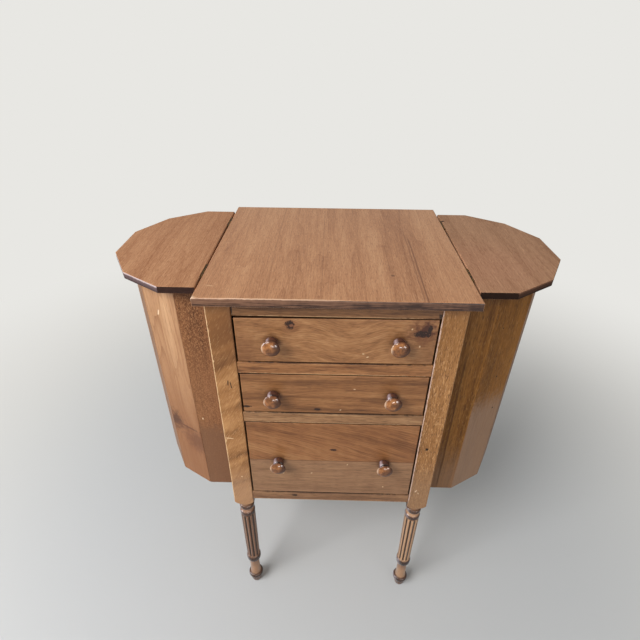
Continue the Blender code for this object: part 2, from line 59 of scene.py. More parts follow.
class Wire:  # a socket in a node tree, with maths on it
    def __init__(self, tree, socket=None):
        self.tree = tree
        self.socket = socket

    def add(self, kind, settings, sockets, output=0):
        node = self.tree.nodes.new(kind)
        for name, value in settings.items():
            if name == "stops":
                fillRamp(node.color_ramp, value)
            else:
                setattr(node, name, value)
        for name, value in sockets.items():
            if isinstance(value, Wire):
                self.tree.links.new(value.socket, node.inputs[name])
            else:
                node.inputs[name].default_value = value
        return Wire(self.tree, node.outputs[output])

    def maths(self, operation, *values):
        return self.add("ShaderNodeMath", {"operation": operation}, dict(enumerate(values)))

    def __add__(self, other):
        return self.maths("ADD", self, other)

    def __radd__(self, other):
        return self.maths("ADD", other, self)

    def __sub__(self, other):
        return self.maths("SUBTRACT", self, other)

    def __rsub__(self, other):
        return self.maths("SUBTRACT", other, self)

    def __mul__(self, other):
        return self.maths("MULTIPLY", self, other)

    def __rmul__(self, other):
        return self.maths("MULTIPLY", other, self)

    def __truediv__(self, other):
        return self.maths("DIVIDE", self, other)

    def __rtruediv__(self, other):
        return self.maths("DIVIDE", other, self)

    def __pow__(self, other):
        return self.maths("POWER", self, other)

    def __abs__(self):
        return self.maths("ABSOLUTE", self)

    def other(self, output):  # another output of the same node
        return Wire(self.tree, self.socket.node.outputs[output])

    def parts(self):
        node = self.add("ShaderNodeSeparateXYZ", {}, {0: self}).socket.node
        return [Wire(self.tree, socket) for socket in node.outputs]

    def vector(self, *values):
        return self.add("ShaderNodeCombineXYZ", {}, dict(enumerate(values)))

    def rise(self, low, high):  # 0 below low, 1 above high, smooth between
        sockets = {"Value": self, "From Min": low, "From Max": high}
        return self.add("ShaderNodeMapRange", {"interpolation_type": "SMOOTHSTEP"}, sockets)

    def fall(self, low, high):
        return 1 - self.rise(low, high)

    def ramp(self, stops):
        return self.add("ShaderNodeValToRGB", {"stops": stops}, {"Fac": self})

    def mix(self, other, factor):  # this colour, with another laid over it
        return self.add("ShaderNodeMix", {"data_type": "RGBA"}, {0: factor, 6: self, 7: other}, 2)

    def noise(self, size, detail):  # of features this long on each axis, the last length for the rest
        scale = tuple(1 / length for length in [*size, size[-1], size[-1]][:3])
        place = self.add("ShaderNodeVectorMath", {"operation": "MULTIPLY"}, {0: self, 1: scale})
        return self.add("ShaderNodeTexNoise", {}, {"Vector": place, "Scale": 1.0, "Detail": detail})


def fillRamp(ramp, stops):
    while len(ramp.elements) < len(stops):
        ramp.elements.new(1.0)
    for element, (position, colour) in zip(ramp.elements, stops):
        element.position = position
        element.color = colour


def paint(red, green, blue):  # a colour as it looks on a screen, made linear
    parts = [value / 255 for value in (red, green, blue)]
    return (*[((part + 0.055) / 1.055) ** 2.4 for part in parts], 1.0)


def newFinish(name):
    material = bpy.data.materials.new(name)
    material.use_nodes = True
    return material, Wire(material.node_tree), material.node_tree.nodes["Principled BSDF"]


def feed(wire, shader, **sockets):
    for name, value in sockets.items():
        socket = shader.inputs[name.replace("_", " ")]
        if isinstance(value, Wire):
            wire.tree.links.new(value.socket, socket)
        else:
            socket.default_value = value


# Wood. Marks, knots and veins are placed along and across the grain, stains in space

Stain = namedtuple("Stain", "at size tone amount core ragged", defaults=(0.3, 0.6))
Mark = namedtuple("Mark", "at size tone amount turn ragged", defaults=(1.0, 0, 0.7))
Knot = namedtuple("Knot", "at size stretch push dark")
Vein = namedtuple("Vein", "at width ends tone amount")
Wash = namedtuple("Wash", "start full tone amount ragged", defaults=(0.05,))

plainWood = {
    "grain": "z", "shift": 0.0,  # the way that the fibres run, and where on the tree the board was cut
    "tones": [(108, 72, 46), (146, 102, 66), (176, 130, 88)],
    "wander": 0.006, "slope": 0.0, "dips": [],
    "bands": 1.2, "bandSize": (0.7, 0.030),
    "rings": 7.0, "ringDepth": 0.14, "ringSize": (0.55, 0.045),
    "fibres": 0.8, "fibreSize": (0.045, 0.0020),
    "figure": 0.0, "figureSize": (0.012, 0.040), "figureLean": 0.0,
    "flecks": 0.30, "fleckSize": (0.012, 0.0013), "fleckTone": (70, 44, 28),
    "glints": 0.0, "glintTone": (205, 165, 125), "glintReach": 0.44,
    "knots": [], "knotTone": (36, 18, 12), "knotHeart": (112, 68, 48),
    "veins": [], "marks": [], "stains": [], "washes": [],
    "specks": 0.0, "speckTone": (226, 200, 164),
    "joint": None, "turned": None, "paintedKnobLight": None,
    # painted shade: the tone and the two switches below darken the gaps beside the drawers
    "gapShadeTone": (52, 33, 22), "sideDirt": False, "innerShade": None,
    "wear": 0.5, "wearTone": (206, 164, 118),
    "rim": None, "rimLean": 0.0, "rimFall": 0.0, "rimMiddle": 0.0, "rimStreaks": 0.8,
    "arris": None, "sheen": None,
    "rough": 0.45, "shine": 0.22, "coat": 0.06, "coatRough": 0.25, "bump": 0.12, "bumpDepth": 0.0006,
}

# How far each trace of age, and each patch of painted light and shade, reaches, from where it starts to
# where it is full, and how strong it is
ageAndPaintedLight = {
    "fine": (0.0025,), "ragged": (0.007,), "wander": (0.30, 0.05), "ringPower": 4.0,
    "jointEdge": 0.0002, "jointShift": 3.3, "jointLine": (0.0003, 0.0011), "jointBreak": 0.0006,
    "jointDark": 0.75,
    "pores": (0.54, 0.68), "glintSpan": 0.14, "glintLength": 0.8, "glintWidth": 1.1,
    "washLeast": 0.9, "washFibres": 0.8, "veinLine": (0.3, 1.0), "veinFade": 0.03,
    "knotSoft": 0.4, "knotReach": (0.45, 1.35), "knotShade": 0.25, "knotEdge": (0.02, 0.3),
    "burl": (0.10, 0.80), "burlDark": 0.95, "heart": (0.85, 1.0), "heartBreak": (0.08, 0.22),
    "heartPale": 0.7,
    "scratchEnd": (0.5, 1.0), "scratchSide": (0.4, 1.0),
    "speckCells": 60.0, "speckBreak": 0.12, "speckSize": (0.04, 0.09), "speckChance": (0.90, 0.92),
    "rimSize": (0.030, 0.030, 0.0016), "rimRagged": 0.5, "rimStops": (0.1, 0.9),
    "seam": (0.0012, 0.0016), "seamClean": 0.8, "seamUnworn": (0.0020, 0.0032),
    "arris": (0.0046, 0.0060), "arrisBreak": 0.003, "arrisLeast": 0.12, "arrisLeft": (-0.17, 0.05),
    "arrisMore": 0.75,
    "sheenSide": (0.15, 0.45), "sheenRim": (-0.006, 0.003), "sheenRimPale": 0.6,
    "sheenArris": (0.0030, 0.0048), "sheenArrisPale": 0.85, "sheenBreak": 0.002,
    "sideDirt": (0.15, 0.45), "sideDirtDark": 0.95, "innerShadeDepth": (0.0008, 0.003), "innerShadeEdge": 0.0006,
    "innerShadeDark": 0.9,
    "wornSpan": (1.1, 1.3), "wornEdge": (0.1, 0.5), "wornPale": 0.85, "fibreRough": 0.14, "wornRough": 0.12,
    "bandBreak": 0.006, "hollow": (0.12, 0.62), "hollowDark": 0.92,
    "litSide": (-0.90, -0.55), "litRings": (0.80, 0.92), "litPale": 0.30,
    "glossSide": (-0.55, -0.15), "glossLeast": 0.25,
    "knobHead": (0.011, 0.014), "knobShade": (-0.14, 0.36), "knobDark": 0.85, "knobFace": (-0.80, -0.48),
    "knobPale": 0.8, "bulbSide": (-0.70, -0.25), "bulbEdge": (-1.0, -0.75), "bulbTop": (0.0, 0.4),
    "bulbPale": 0.40, "dullFace": (-0.84, -0.65), "dullTop": (0.15, 0.45), "dull": 0.9,
}


class Surface:  # a wooden surface: where it is, which way it faces, and its colour so far
    def __init__(self, wire, grain):
        self.wire = wire
        self.place = wire.add("ShaderNodeTexCoord", {}, {}, "Object")
        self.x, self.y, self.z = x, y, z = self.place.parts()
        self.along, self.cross, self.depth = {"x": (x, z, y), "y": (y, x, z), "z": (z, x, y)}[grain]
        self.facing = wire.add("ShaderNodeTexCoord", {}, {}, "Normal").parts()
        self.board, self.edge, self.rim, self.hollow = [
            wire.add("ShaderNodeAttribute", {"attribute_name": title}, {}, "Fac")
            for title in ("board", "edge", "rim", "hollow")]
        self.fine = self.place.noise(ageAndPaintedLight["fine"], 3.0) - 0.5
        self.ragged = self.place.noise(ageAndPaintedLight["ragged"], 2.0) - 0.5

    def lay(self, tone, amount):
        self.colour = self.colour.mix(paint(*tone), amount)


def partGrain(wood, look):  # leads the grain round each knot, and shows how near its heart is
    cross = wood.cross
    heart = 0
    for dip in look["dips"]:
        cross = cross + (abs(wood.along - dip["at"]) / dip["width"]).fall(0, 1) * dip["depth"]
    for knot in look["knots"]:
        area = knot.size ** 2
        lengthwise = (wood.along - knot.at[0]) / knot.stretch
        sideways = cross - knot.at[1]
        reach = lengthwise * lengthwise + sideways * sideways
        cross = cross - sideways * (knot.push * area) / (reach + ageAndPaintedLight["knotSoft"] * area)
        heart = heart + (reach ** 0.5 / knot.size).fall(*ageAndPaintedLight["knotReach"]) * knot.dark
    return cross, heart


def scratch(wood, mark):  # how much of a nick or scratch shows
    turn = math.radians(mark.turn)
    sideways = wood.cross - mark.at[1]
    lengthwise = wood.along - mark.at[0]
    length, width = mark.size
    broken = wood.ragged * mark.ragged
    onLine = abs(lengthwise * math.cos(turn) + sideways * math.sin(turn)) / length + broken
    offLine = abs(sideways * math.cos(turn) - lengthwise * math.sin(turn)) / width + broken
    return onLine.fall(*ageAndPaintedLight["scratchEnd"]) * offLine.fall(*ageAndPaintedLight["scratchSide"]) * mark.amount


def rampOf(tones):
    dark, middle, light = [paint(*tone) for tone in tones]
    return [(0.0, dark), (0.5, middle), (1.0, light)]


def growWood(wood, look):  # bands, growth rings and fibres add up to one tone
    joint = look["joint"]
    flowing, wood.heart = partGrain(wood, look)
    lengthwise = wood.along + look["shift"]
    slope = wood.along * look["slope"]
    if joint:  # a second board is glued on below; its paler, greyer tones are partly a painted reflection
        edge = ageAndPaintedLight["jointEdge"]
        below = wood.cross.fall(joint["at"] - edge, joint["at"] + edge)
        lengthwise = lengthwise + below * ageAndPaintedLight["jointShift"]
        slope = slope * (1 - below)
    inward = wood.depth + wood.board
    wood.loose = wood.wire.vector(lengthwise, wood.cross, inward)
    wood.flowing = flowing + slope + (wood.loose.noise(ageAndPaintedLight["wander"], 1.0) - 0.5) * look["wander"]
    wood.grain = wood.wire.vector(lengthwise, wood.flowing, inward)
    wood.fibre = wood.grain.noise(look["fibreSize"], 3.0) - 0.5
    growth = wood.grain.noise(look["ringSize"], 1.0) * look["rings"]
    ring = growth.maths("FRACT", growth) ** ageAndPaintedLight["ringPower"]
    band = wood.grain.noise(look["bandSize"], 2.0) - 0.5
    tone = 0.5 + band * look["bands"] + wood.fibre * look["fibres"]
    tone = tone - ring * look["ringDepth"] - wood.heart * ageAndPaintedLight["knotShade"]
    if look["figure"]:
        curl = wood.wire.vector(lengthwise - wood.cross * look["figureLean"], wood.flowing, inward)
        tone = tone + (curl.noise(look["figureSize"], 1.0) - 0.5) * look["figure"]
    wood.colour = tone.ramp(rampOf(look["tones"]))
    if joint:
        wood.colour = wood.colour.mix(tone.ramp(rampOf(joint["tones"])), below)
        line = abs(wood.cross - joint["at"]) + wood.fine * ageAndPaintedLight["jointBreak"]
        wood.lay(joint["tone"], line.fall(*ageAndPaintedLight["jointLine"]) * ageAndPaintedLight["jointDark"])


def markWood(wood, look):  # pores, what has happened to the board since, and washes, some of them painted shade and painted reflection
    along, fine, ragged, heart = wood.along, wood.fine, wood.ragged, wood.heart
    wood.fleck = wood.grain.noise(look["fleckSize"], 1.0).rise(*ageAndPaintedLight["pores"])
    wood.lay(look["fleckTone"], wood.fleck * look["flecks"])
    if look["glints"]:
        length, width = look["fleckSize"]
        glint = wood.grain.noise((length * ageAndPaintedLight["glintLength"], width * ageAndPaintedLight["glintWidth"]), 1.0)
        glint = glint.fall(look["glintReach"] - ageAndPaintedLight["glintSpan"], look["glintReach"])
        wood.lay(look["glintTone"], glint * look["glints"])
    for wash in look["washes"]:  # the board changes tone towards one end; on several pieces this is painted shade, on others a painted reflection
        ends = sorted((wash.start, wash.full))
        spread = wood.z + ragged * wash.ragged
        spread = spread.fall(*ends) if wash.full < wash.start else spread.rise(*ends)
        spread = spread * (ageAndPaintedLight["washLeast"] + wood.fibre * ageAndPaintedLight["washFibres"])
        wood.lay(wash.tone, spread * wash.amount)
    for vein in look["veins"]:
        first, last = vein.ends
        fade = ageAndPaintedLight["veinFade"]
        line = (abs(wood.flowing - vein.at) / vein.width + wood.fibre).fall(*ageAndPaintedLight["veinLine"])
        reach = along.rise(first - fade, first) * along.fall(last, last + fade)
        wood.lay(vein.tone, line * reach * vein.amount)
    for stain in look["stains"]:
        away = wood.place.add("ShaderNodeVectorMath", {"operation": "DISTANCE"},
                              {0: wood.place, 1: stain.at}, "Value")
        spread = (away / stain.size + ragged * stain.ragged).fall(stain.core, 1.0)
        wood.lay(stain.tone, spread * stain.amount)
    if look["knots"]:
        burl = heart + (ragged * 1.8 + fine * 1.6) * heart.rise(*ageAndPaintedLight["knotEdge"])
        wood.lay(look["knotTone"], burl.rise(*ageAndPaintedLight["burl"]) * ageAndPaintedLight["burlDark"])
        pale = heart.rise(*ageAndPaintedLight["heart"]) * (fine + ragged).rise(*ageAndPaintedLight["heartBreak"])
        wood.lay(look["knotHeart"], pale * ageAndPaintedLight["heartPale"])
    for mark in look["marks"]:
        wood.lay(mark.tone, scratch(wood, mark))
    if look["specks"]:
        cells = wood.wire.add("ShaderNodeTexVoronoi", {},
                              {"Vector": wood.loose, "Scale": ageAndPaintedLight["speckCells"]})
        chance = wood.wire.add("ShaderNodeSeparateColor", {}, {0: cells.other("Color")})
        speck = (cells + ragged * ageAndPaintedLight["speckBreak"]).fall(*ageAndPaintedLight["speckSize"])
        wood.lay(look["speckTone"], speck * chance.rise(*ageAndPaintedLight["speckChance"]) * look["specks"])


def rimToneWearAndSheen(wood, look):  # the sides of the top and the lids, with their wear and painted light
    above = wood.z - look["rimMiddle"]
    fromSeam = abs(abs(wood.x) - seamX)
    streak = wood.place.noise(ageAndPaintedLight["rimSize"], 3.0) - 0.5
    # rimLean paints the rim lighter on one side and darker on the other, as the light falls: painted light;
    # rimFall makes it lighter towards its top
    tone = 0.5 + streak * look["rimStreaks"] + wood.ragged * ageAndPaintedLight["rimRagged"] + wood.x * look["rimLean"]
    tone = tone + above * look["rimFall"]
    stops = [(stop, paint(*shade)) for stop, shade in zip(ageAndPaintedLight["rimStops"], look["rim"])]
    clean = fromSeam.fall(*ageAndPaintedLight["seam"]) * ageAndPaintedLight["seamClean"]
    wood.colour = wood.colour.mix(tone.ramp(stops), wood.rim * (1 - clean))
    wood.edge = wood.edge * fromSeam.rise(*ageAndPaintedLight["seamUnworn"])  # no hand rubs the edges in the seam
    if look["arris"]:  # the front edge is paler along its top: partly rubbed bare, partly a painted highlight, most of all on the left
        line = (above + wood.ragged * ageAndPaintedLight["arrisBreak"]).rise(*ageAndPaintedLight["arris"]) * wood.rim
        left = wood.x.fall(*ageAndPaintedLight["arrisLeft"]) * ageAndPaintedLight["arrisMore"]
        wood.lay(look["arris"], line * (ageAndPaintedLight["arrisLeast"] + left))
    if look["sheen"]:  # painted highlight and sheen on the edges that face one side
        lit = (wood.facing[0] * look["sheen"]["side"]).rise(*ageAndPaintedLight["sheenSide"]) * wood.rim
        wood.lay(look["sheen"]["rim"], lit * above.rise(*ageAndPaintedLight["sheenRim"]) * ageAndPaintedLight["sheenRimPale"])
        line = (above + wood.ragged * ageAndPaintedLight["sheenBreak"]).rise(*ageAndPaintedLight["sheenArris"])
        wood.lay(look["sheen"]["arris"], lit * line * ageAndPaintedLight["sheenArrisPale"])


def gapShadeAndWear(wood, look):  # painted shade in the gaps, and rubbed edges
    if look["sideDirt"]:  # painted shade on a drawer front, where it faces its opening
        aside = abs(wood.facing[1]).fall(*ageAndPaintedLight["sideDirt"])
        wood.lay(look["gapShadeTone"], aside * ageAndPaintedLight["sideDirtDark"])
    if look["innerShade"]:  # painted shade on a post, beside the drawers
        face, side = look["innerShade"]
        start, full = ageAndPaintedLight["innerShadeDepth"]
        hidden = wood.y.rise(face + start, face + full) * abs(wood.x).fall(side, side + ageAndPaintedLight["innerShadeEdge"])
        wood.lay(look["gapShadeTone"], hidden * ageAndPaintedLight["innerShadeDark"])
    start, full = [reach - look["wear"] for reach in ageAndPaintedLight["wornSpan"]]
    worn = (wood.edge + wood.ragged * 1.2 + wood.fine * 0.5).rise(start, full)
    worn = worn * wood.edge.rise(*ageAndPaintedLight["wornEdge"])
    wood.lay(look["wearTone"], worn * ageAndPaintedLight["wornPale"])
    wood.rough = look["rough"] + wood.fibre * ageAndPaintedLight["fibreRough"] + worn * ageAndPaintedLight["wornRough"]
    wood.gloss = look["coat"]


def stainTurningAndHighlight(wood, turned):  # stained and rubbed in bands, darker in the hollows, with a painted highlight on the rings
    fine, across = wood.fine, wood.facing[0]
    last = turned["bands"][-1][0]
    stops = [(height / last, (*paint(*turned["tones"][tone])[:3], amount))
             for height, tone, amount in turned["bands"]]
    onAxis = wood.z - turned["start"] if turned["axis"] == "z" else turned["start"] - wood.y
    bands = (onAxis / last + fine * ageAndPaintedLight["bandBreak"]).ramp(stops)
    amount = bands.other("Alpha")
    wood.colour = wood.colour.mix(bands, amount * (1.0 + fine * 0.6 + wood.fibre * 0.5))
    # darker in the hollows of the reeds
    hollowMask = (wood.hollow + fine * 0.3).rise(*ageAndPaintedLight["hollow"])
    wood.lay(turned["hollow"], hollowMask * ageAndPaintedLight["hollowDark"])
    if turned["lit"]:  # painted highlight: the rings are lighter on the left, where the light falls
        bright = (across + fine * 0.3).fall(*ageAndPaintedLight["litSide"]) * amount.rise(*ageAndPaintedLight["litRings"])
        wood.lay(turned["lit"], bright * ageAndPaintedLight["litPale"])
    wood.rough = wood.rough - amount * turned["polish"]
    least = ageAndPaintedLight["glossLeast"]
    polished = least + across.fall(*ageAndPaintedLight["glossSide"]) * (1 - least)
    wood.gloss = wood.gloss + amount * polished * turned["gloss"]


def paintKnobLight(wood, paintedKnobLight):  # painted light and shade: a knob is pale on the left and dark on the right
    across, ahead, up = wood.facing
    head = (faceY - wood.y).rise(*ageAndPaintedLight["knobHead"])
    # painted shade on the side turned away from the light
    turnedAway = (across - up * 0.5 + wood.ragged * 0.5).rise(*ageAndPaintedLight["knobShade"])
    wood.lay(paintedKnobLight["shade"], turnedAway * head * ageAndPaintedLight["knobDark"])
    # painted highlight on the left of the head
    wood.lay(paintedKnobLight["face"], across.fall(*ageAndPaintedLight["knobFace"]) * head * ageAndPaintedLight["knobPale"])
    # painted highlight on the bulb
    bulb = across.fall(*ageAndPaintedLight["bulbSide"]) * across.rise(*ageAndPaintedLight["bulbEdge"])
    bulb = bulb * up.rise(*ageAndPaintedLight["bulbTop"]) * (1 - head)
    wood.lay(paintedKnobLight["bulb"], bulb * ageAndPaintedLight["bulbPale"])
    dull = head * ahead.rise(*ageAndPaintedLight["dullFace"]) * up.fall(*ageAndPaintedLight["dullTop"])
    wood.gloss = wood.gloss * (1 - dull * ageAndPaintedLight["dull"])


def woodFinish(name, **changes):
    look = {**plainWood, **changes}
    material, wire, shader = newFinish(name)
    wood = Surface(wire, look["grain"])
    growWood(wood, look)
    markWood(wood, look)
    if look["rim"]:
        rimToneWearAndSheen(wood, look)
    gapShadeAndWear(wood, look)
    if look["turned"]:
        stainTurningAndHighlight(wood, look["turned"])
    if look["paintedKnobLight"]:
        paintKnobLight(wood, look["paintedKnobLight"])
    relief = wood.fibre * 0.5 - wood.fleck * 0.5
    normal = wire.add("ShaderNodeBump", {}, {"Strength": look["bump"], "Distance": look["bumpDepth"],
                                             "Height": relief})
    feed(wire, shader, Base_Color=wood.colour, Roughness=wood.rough, Normal=normal,
         Specular_IOR_Level=look["shine"], Coat_Weight=wood.gloss, Coat_Roughness=look["coatRough"])
    return material


# Pieces

def addObject(name, mesh):
    made = bpy.data.objects.new(name, mesh)
    bpy.context.scene.collection.objects.link(made)
    return made


def addPiece(node, mesh):  # a finer piece that stands for a CAD node, on its body
    piece = addObject(node + "_finished", mesh)
    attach(piece, bodyOf[node])
    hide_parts(node)
    return piece


def dress(piece, material):
    piece.data.materials.clear()
    piece.data.materials.append(material)


softEdges = {"segments": 3, "sharp": 0.3, "upright": 0.6}


def softenEdges(shape, roundness):  # rounds every sharp edge and marks how worn it may be
    sharp = [edge for edge in shape.edges
             if edge.is_manifold and edge.calc_face_angle() > softEdges["sharp"]]
    made = bmesh.ops.bevel(shape, geom=sharp, offset=roundness, segments=softEdges["segments"], profile=0.5,
                           affect="EDGES", clamp_overlap=True)
    rounded = set(made["faces"])
    for face in shape.faces:
        face.smooth = face in rounded
    worn = shape.verts.layers.float.new("edge")
    side = shape.faces.layers.float.new("rim")
    for vertex in shape.verts:
        vertex[worn] = float(all(face in rounded for face in vertex.link_faces))
    shape.normal_update()
    for face in shape.faces:
        face[side] = float(abs(face.normal.z) < softEdges["upright"])


def finishMesh(shape, name, board=0.0):
    seeds = shape.verts.layers.float.new("board")
    for vertex in shape.verts:
        vertex[seeds] = board
    bmesh.ops.recalc_face_normals(shape, faces=shape.faces)
    mesh = bpy.data.meshes.new(name)
    shape.to_mesh(mesh)
    shape.free()
    return mesh


def addBox(shape, low, high):
    size = [b - a for a, b in zip(low, high)]
    middle = [(a + b) / 2 for a, b in zip(low, high)]
    matrix = Matrix.Translation(middle) @ Matrix.Diagonal((*size, 1.0))
    return bmesh.ops.create_cube(shape, size=1.0, matrix=matrix)["verts"]


def flatOutline(node):  # the corners of a CAD board seen from above, without its notches and bevels
    low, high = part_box(node)
    middle = (low.z + high.z) / 2
    points = [vertex.co.xy for vertex in cadNodes[node].data.vertices
              if abs(vertex.co.z - middle) < (high.z - low.z) / 2 - topBoards["bevelSkip"]]
    around = [points[index] for index in geometry.convex_hull_2d(points)]
    sides = [(start, end - start) for start, end in zip(around, around[1:] + around[:1])
             if (end - start).length > topBoards["shortSide"]]
    merged = [side for side, before in zip(sides, sides[-1:] + sides[:-1])
              if abs(side[1].normalized().cross(before[1].normalized())) > topBoards["straight"]]
    corners = []
    for (start, way), (nextStart, nextWay) in zip(merged, merged[1:] + merged[:1]):
        corners.append(start + way * (nextStart - start).cross(nextWay) / way.cross(nextWay))
    return corners, low.z, high.z


def plainCopy(holder, *helpers):  # the mesh that an object's modifiers make, without the object
    graph = bpy.context.evaluated_depsgraph_get()
    made = bpy.data.meshes.new_from_object(holder.evaluated_get(graph))
    made.name = holder.name
    for helper in (holder, *helpers):
        bpy.data.objects.remove(helper, do_unlink=True)
    return made


def boardMesh(node, sides):  # a rounded board that the hinges on these sides are let into
    corners, foot, top = flatOutline(node)
    shape = bmesh.new()
    face = shape.faces.new([shape.verts.new((*corner, foot)) for corner in corners])
    raised = bmesh.ops.extrude_face_region(shape, geom=[face])["geom"]
    lifted = [item for item in raised if isinstance(item, bmesh.types.BMVert)]
    bmesh.ops.translate(shape, vec=(0, 0, top - foot), verts=lifted)
    bmesh.ops.recalc_face_normals(shape, faces=shape.faces)
    swinging = [edge for edge in shape.edges
                if all(vertex in lifted and abs(abs(vertex.co.x) - seamX) < topBoards["seamReach"]
                       for vertex in edge.verts)]
    bmesh.ops.bevel(shape, geom=swinging, offset=topBoards["seamBevel"], segments=1, profile=0.5,
                    affect="EDGES")  # so that the lid clears the top as it swings up
    softenEdges(shape, topBoards["roundness"])
    board = addObject(node, finishMesh(shape, node))
    room = bmesh.new()
    spare = topBoards["hingeFit"]
    for side in sides:
        for end in ("front", "back"):
            low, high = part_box(side + "_" + end + "_hinge_lid_leaf")
            otherLow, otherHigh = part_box(side + "_" + end + "_hinge_top_leaf")
            addBox(room, (min(low.x, otherLow.x) - spare, low.y - spare, low.z - spare),
                   (max(high.x, otherHigh.x) + spare, high.y + spare, top + spare))
    cutter = addObject("hinge_room", finishMesh(room, "hinge_room"))
    cut = board.modifiers.new("hinge_room", "BOOLEAN")
    cut.operation = "DIFFERENCE"
    cut.object = cutter
    return plainCopy(board, cutter)


topBoards = {
    "roundness": 0.0007, "hingeFit": 0.0003, "bevelSkip": 0.0005, "shortSide": 0.003, "straight": 0.01,
    "seamReach": 0.0015, "seamBevel": 0.0012,
    "hinges": {"top_board": ("left", "right"), "left_lid": ("left",), "right_lid": ("right",)},
    "board": {
        "grain": "y", "rimMiddle": (topLow.z + topHigh.z) / 2,
        "bands": 0.8, "bandSize": (0.5, 0.028), "rings": 7.0, "ringDepth": 0.18,
        "fibres": 1.0, "fibreSize": (0.040, 0.0013), "flecks": 0.40, "fleckTone": (118, 72, 48),
        "fleckSize": (0.009, 0.0010), "glints": 0.30, "glintTone": (222, 174, 134), "rough": 0.40},
    "top_board": {
        "shift": 0.3, "tones": [(150, 99, 66), (191, 138, 99), (215, 167, 126)],
        # rimLean below paints the front edge lighter on the left: painted light
        "rim": [(48, 24, 12), (126, 89, 67)], "rimLean": -1.6, "rimFall": 30.0, "rimStreaks": 2.2,
        # the arris tone is wear and a painted highlight along the top of the front edge
        "arris": (214, 176, 148), "wear": 0.5, "wearTone": (220, 184, 152), "shine": 0.26, "coat": 0.10,
        "veins": [Vein(at, width, ends, (120, 78, 54), amount) for at, width, amount, ends in (
            (0.117, 0.0017, 0.70, (-0.17, 0.02)), (0.1125, 0.0013, 0.45, (-0.16, 0.06)),
            (0.0765, 0.0010, 0.25, (-0.17, 0.10)), (-0.0205, 0.0012, 0.25, (-0.15, 0.12)),
            (-0.094, 0.0014, 0.22, (-0.12, 0.15)))],
        "stains": [Stain((topLow.x, topLow.y, topHigh.z), 0.007, (230, 198, 166), 0.9),
                   Stain((0.0785, -0.0983, topHigh.z), 0.004, (92, 58, 40), 0.7)],
        "marks": [Mark((-0.136, -0.1694), (0.0012, 0.007), (222, 180, 140), 0.8, turn=12),
                  # a pale line along the front of the top: wear and a painted highlight
                  Mark((topLow.y, -0.075), (0.0020, 0.115), (222, 188, 158), 0.75, ragged=1.0)]},
    "left_lid": {
        "shift": 1.7, "tones": [(150, 99, 67), (185, 134, 98), (208, 161, 122)],
        "rim": [(32, 19, 16), (68, 46, 40)], "rimFall": 20.0, "wear": 0.5, "wearTone": (206, 172, 158),
        # painted highlight and sheen on the edges that face left
        "sheen": {"side": -1, "rim": (116, 96, 100), "arris": (206, 186, 186)},
        "shine": 0.07, "coat": 0.02},
    "right_lid": {
        "shift": 2.9, "tones": [(138, 98, 71), (174, 132, 102), (200, 157, 125)],
        # the rim is darker than the left lid's: painted shade
        "rim": [(20, 10, 5), (44, 26, 17)], "rimFall": 20.0, "wear": 0.4, "wearTone": (176, 136, 110),
        # painted highlight on the edges that face right
        "sheen": {"side": 1, "rim": (96, 64, 48), "arris": (128, 90, 70)},
        "shine": 0.05, "coat": 0.01,
        "stains": [Stain((0.1912, 0.1151, topHigh.z), 0.0042, (44, 26, 20), 0.9),
                   Stain((0.205, -0.06, topHigh.z), 0.14, (186, 126, 100), 0.22, core=0.1)]},
}


def makeTop():
    for node, sides in topBoards["hinges"].items():
        look = {**topBoards["board"], **topBoards[node]}
        finish = woodFinish("red_brown_" + node.removesuffix("_board"), **look)
        dress(addPiece(node, boardMesh(node, sides)), finish)


makeTop()
print("top and lids done")

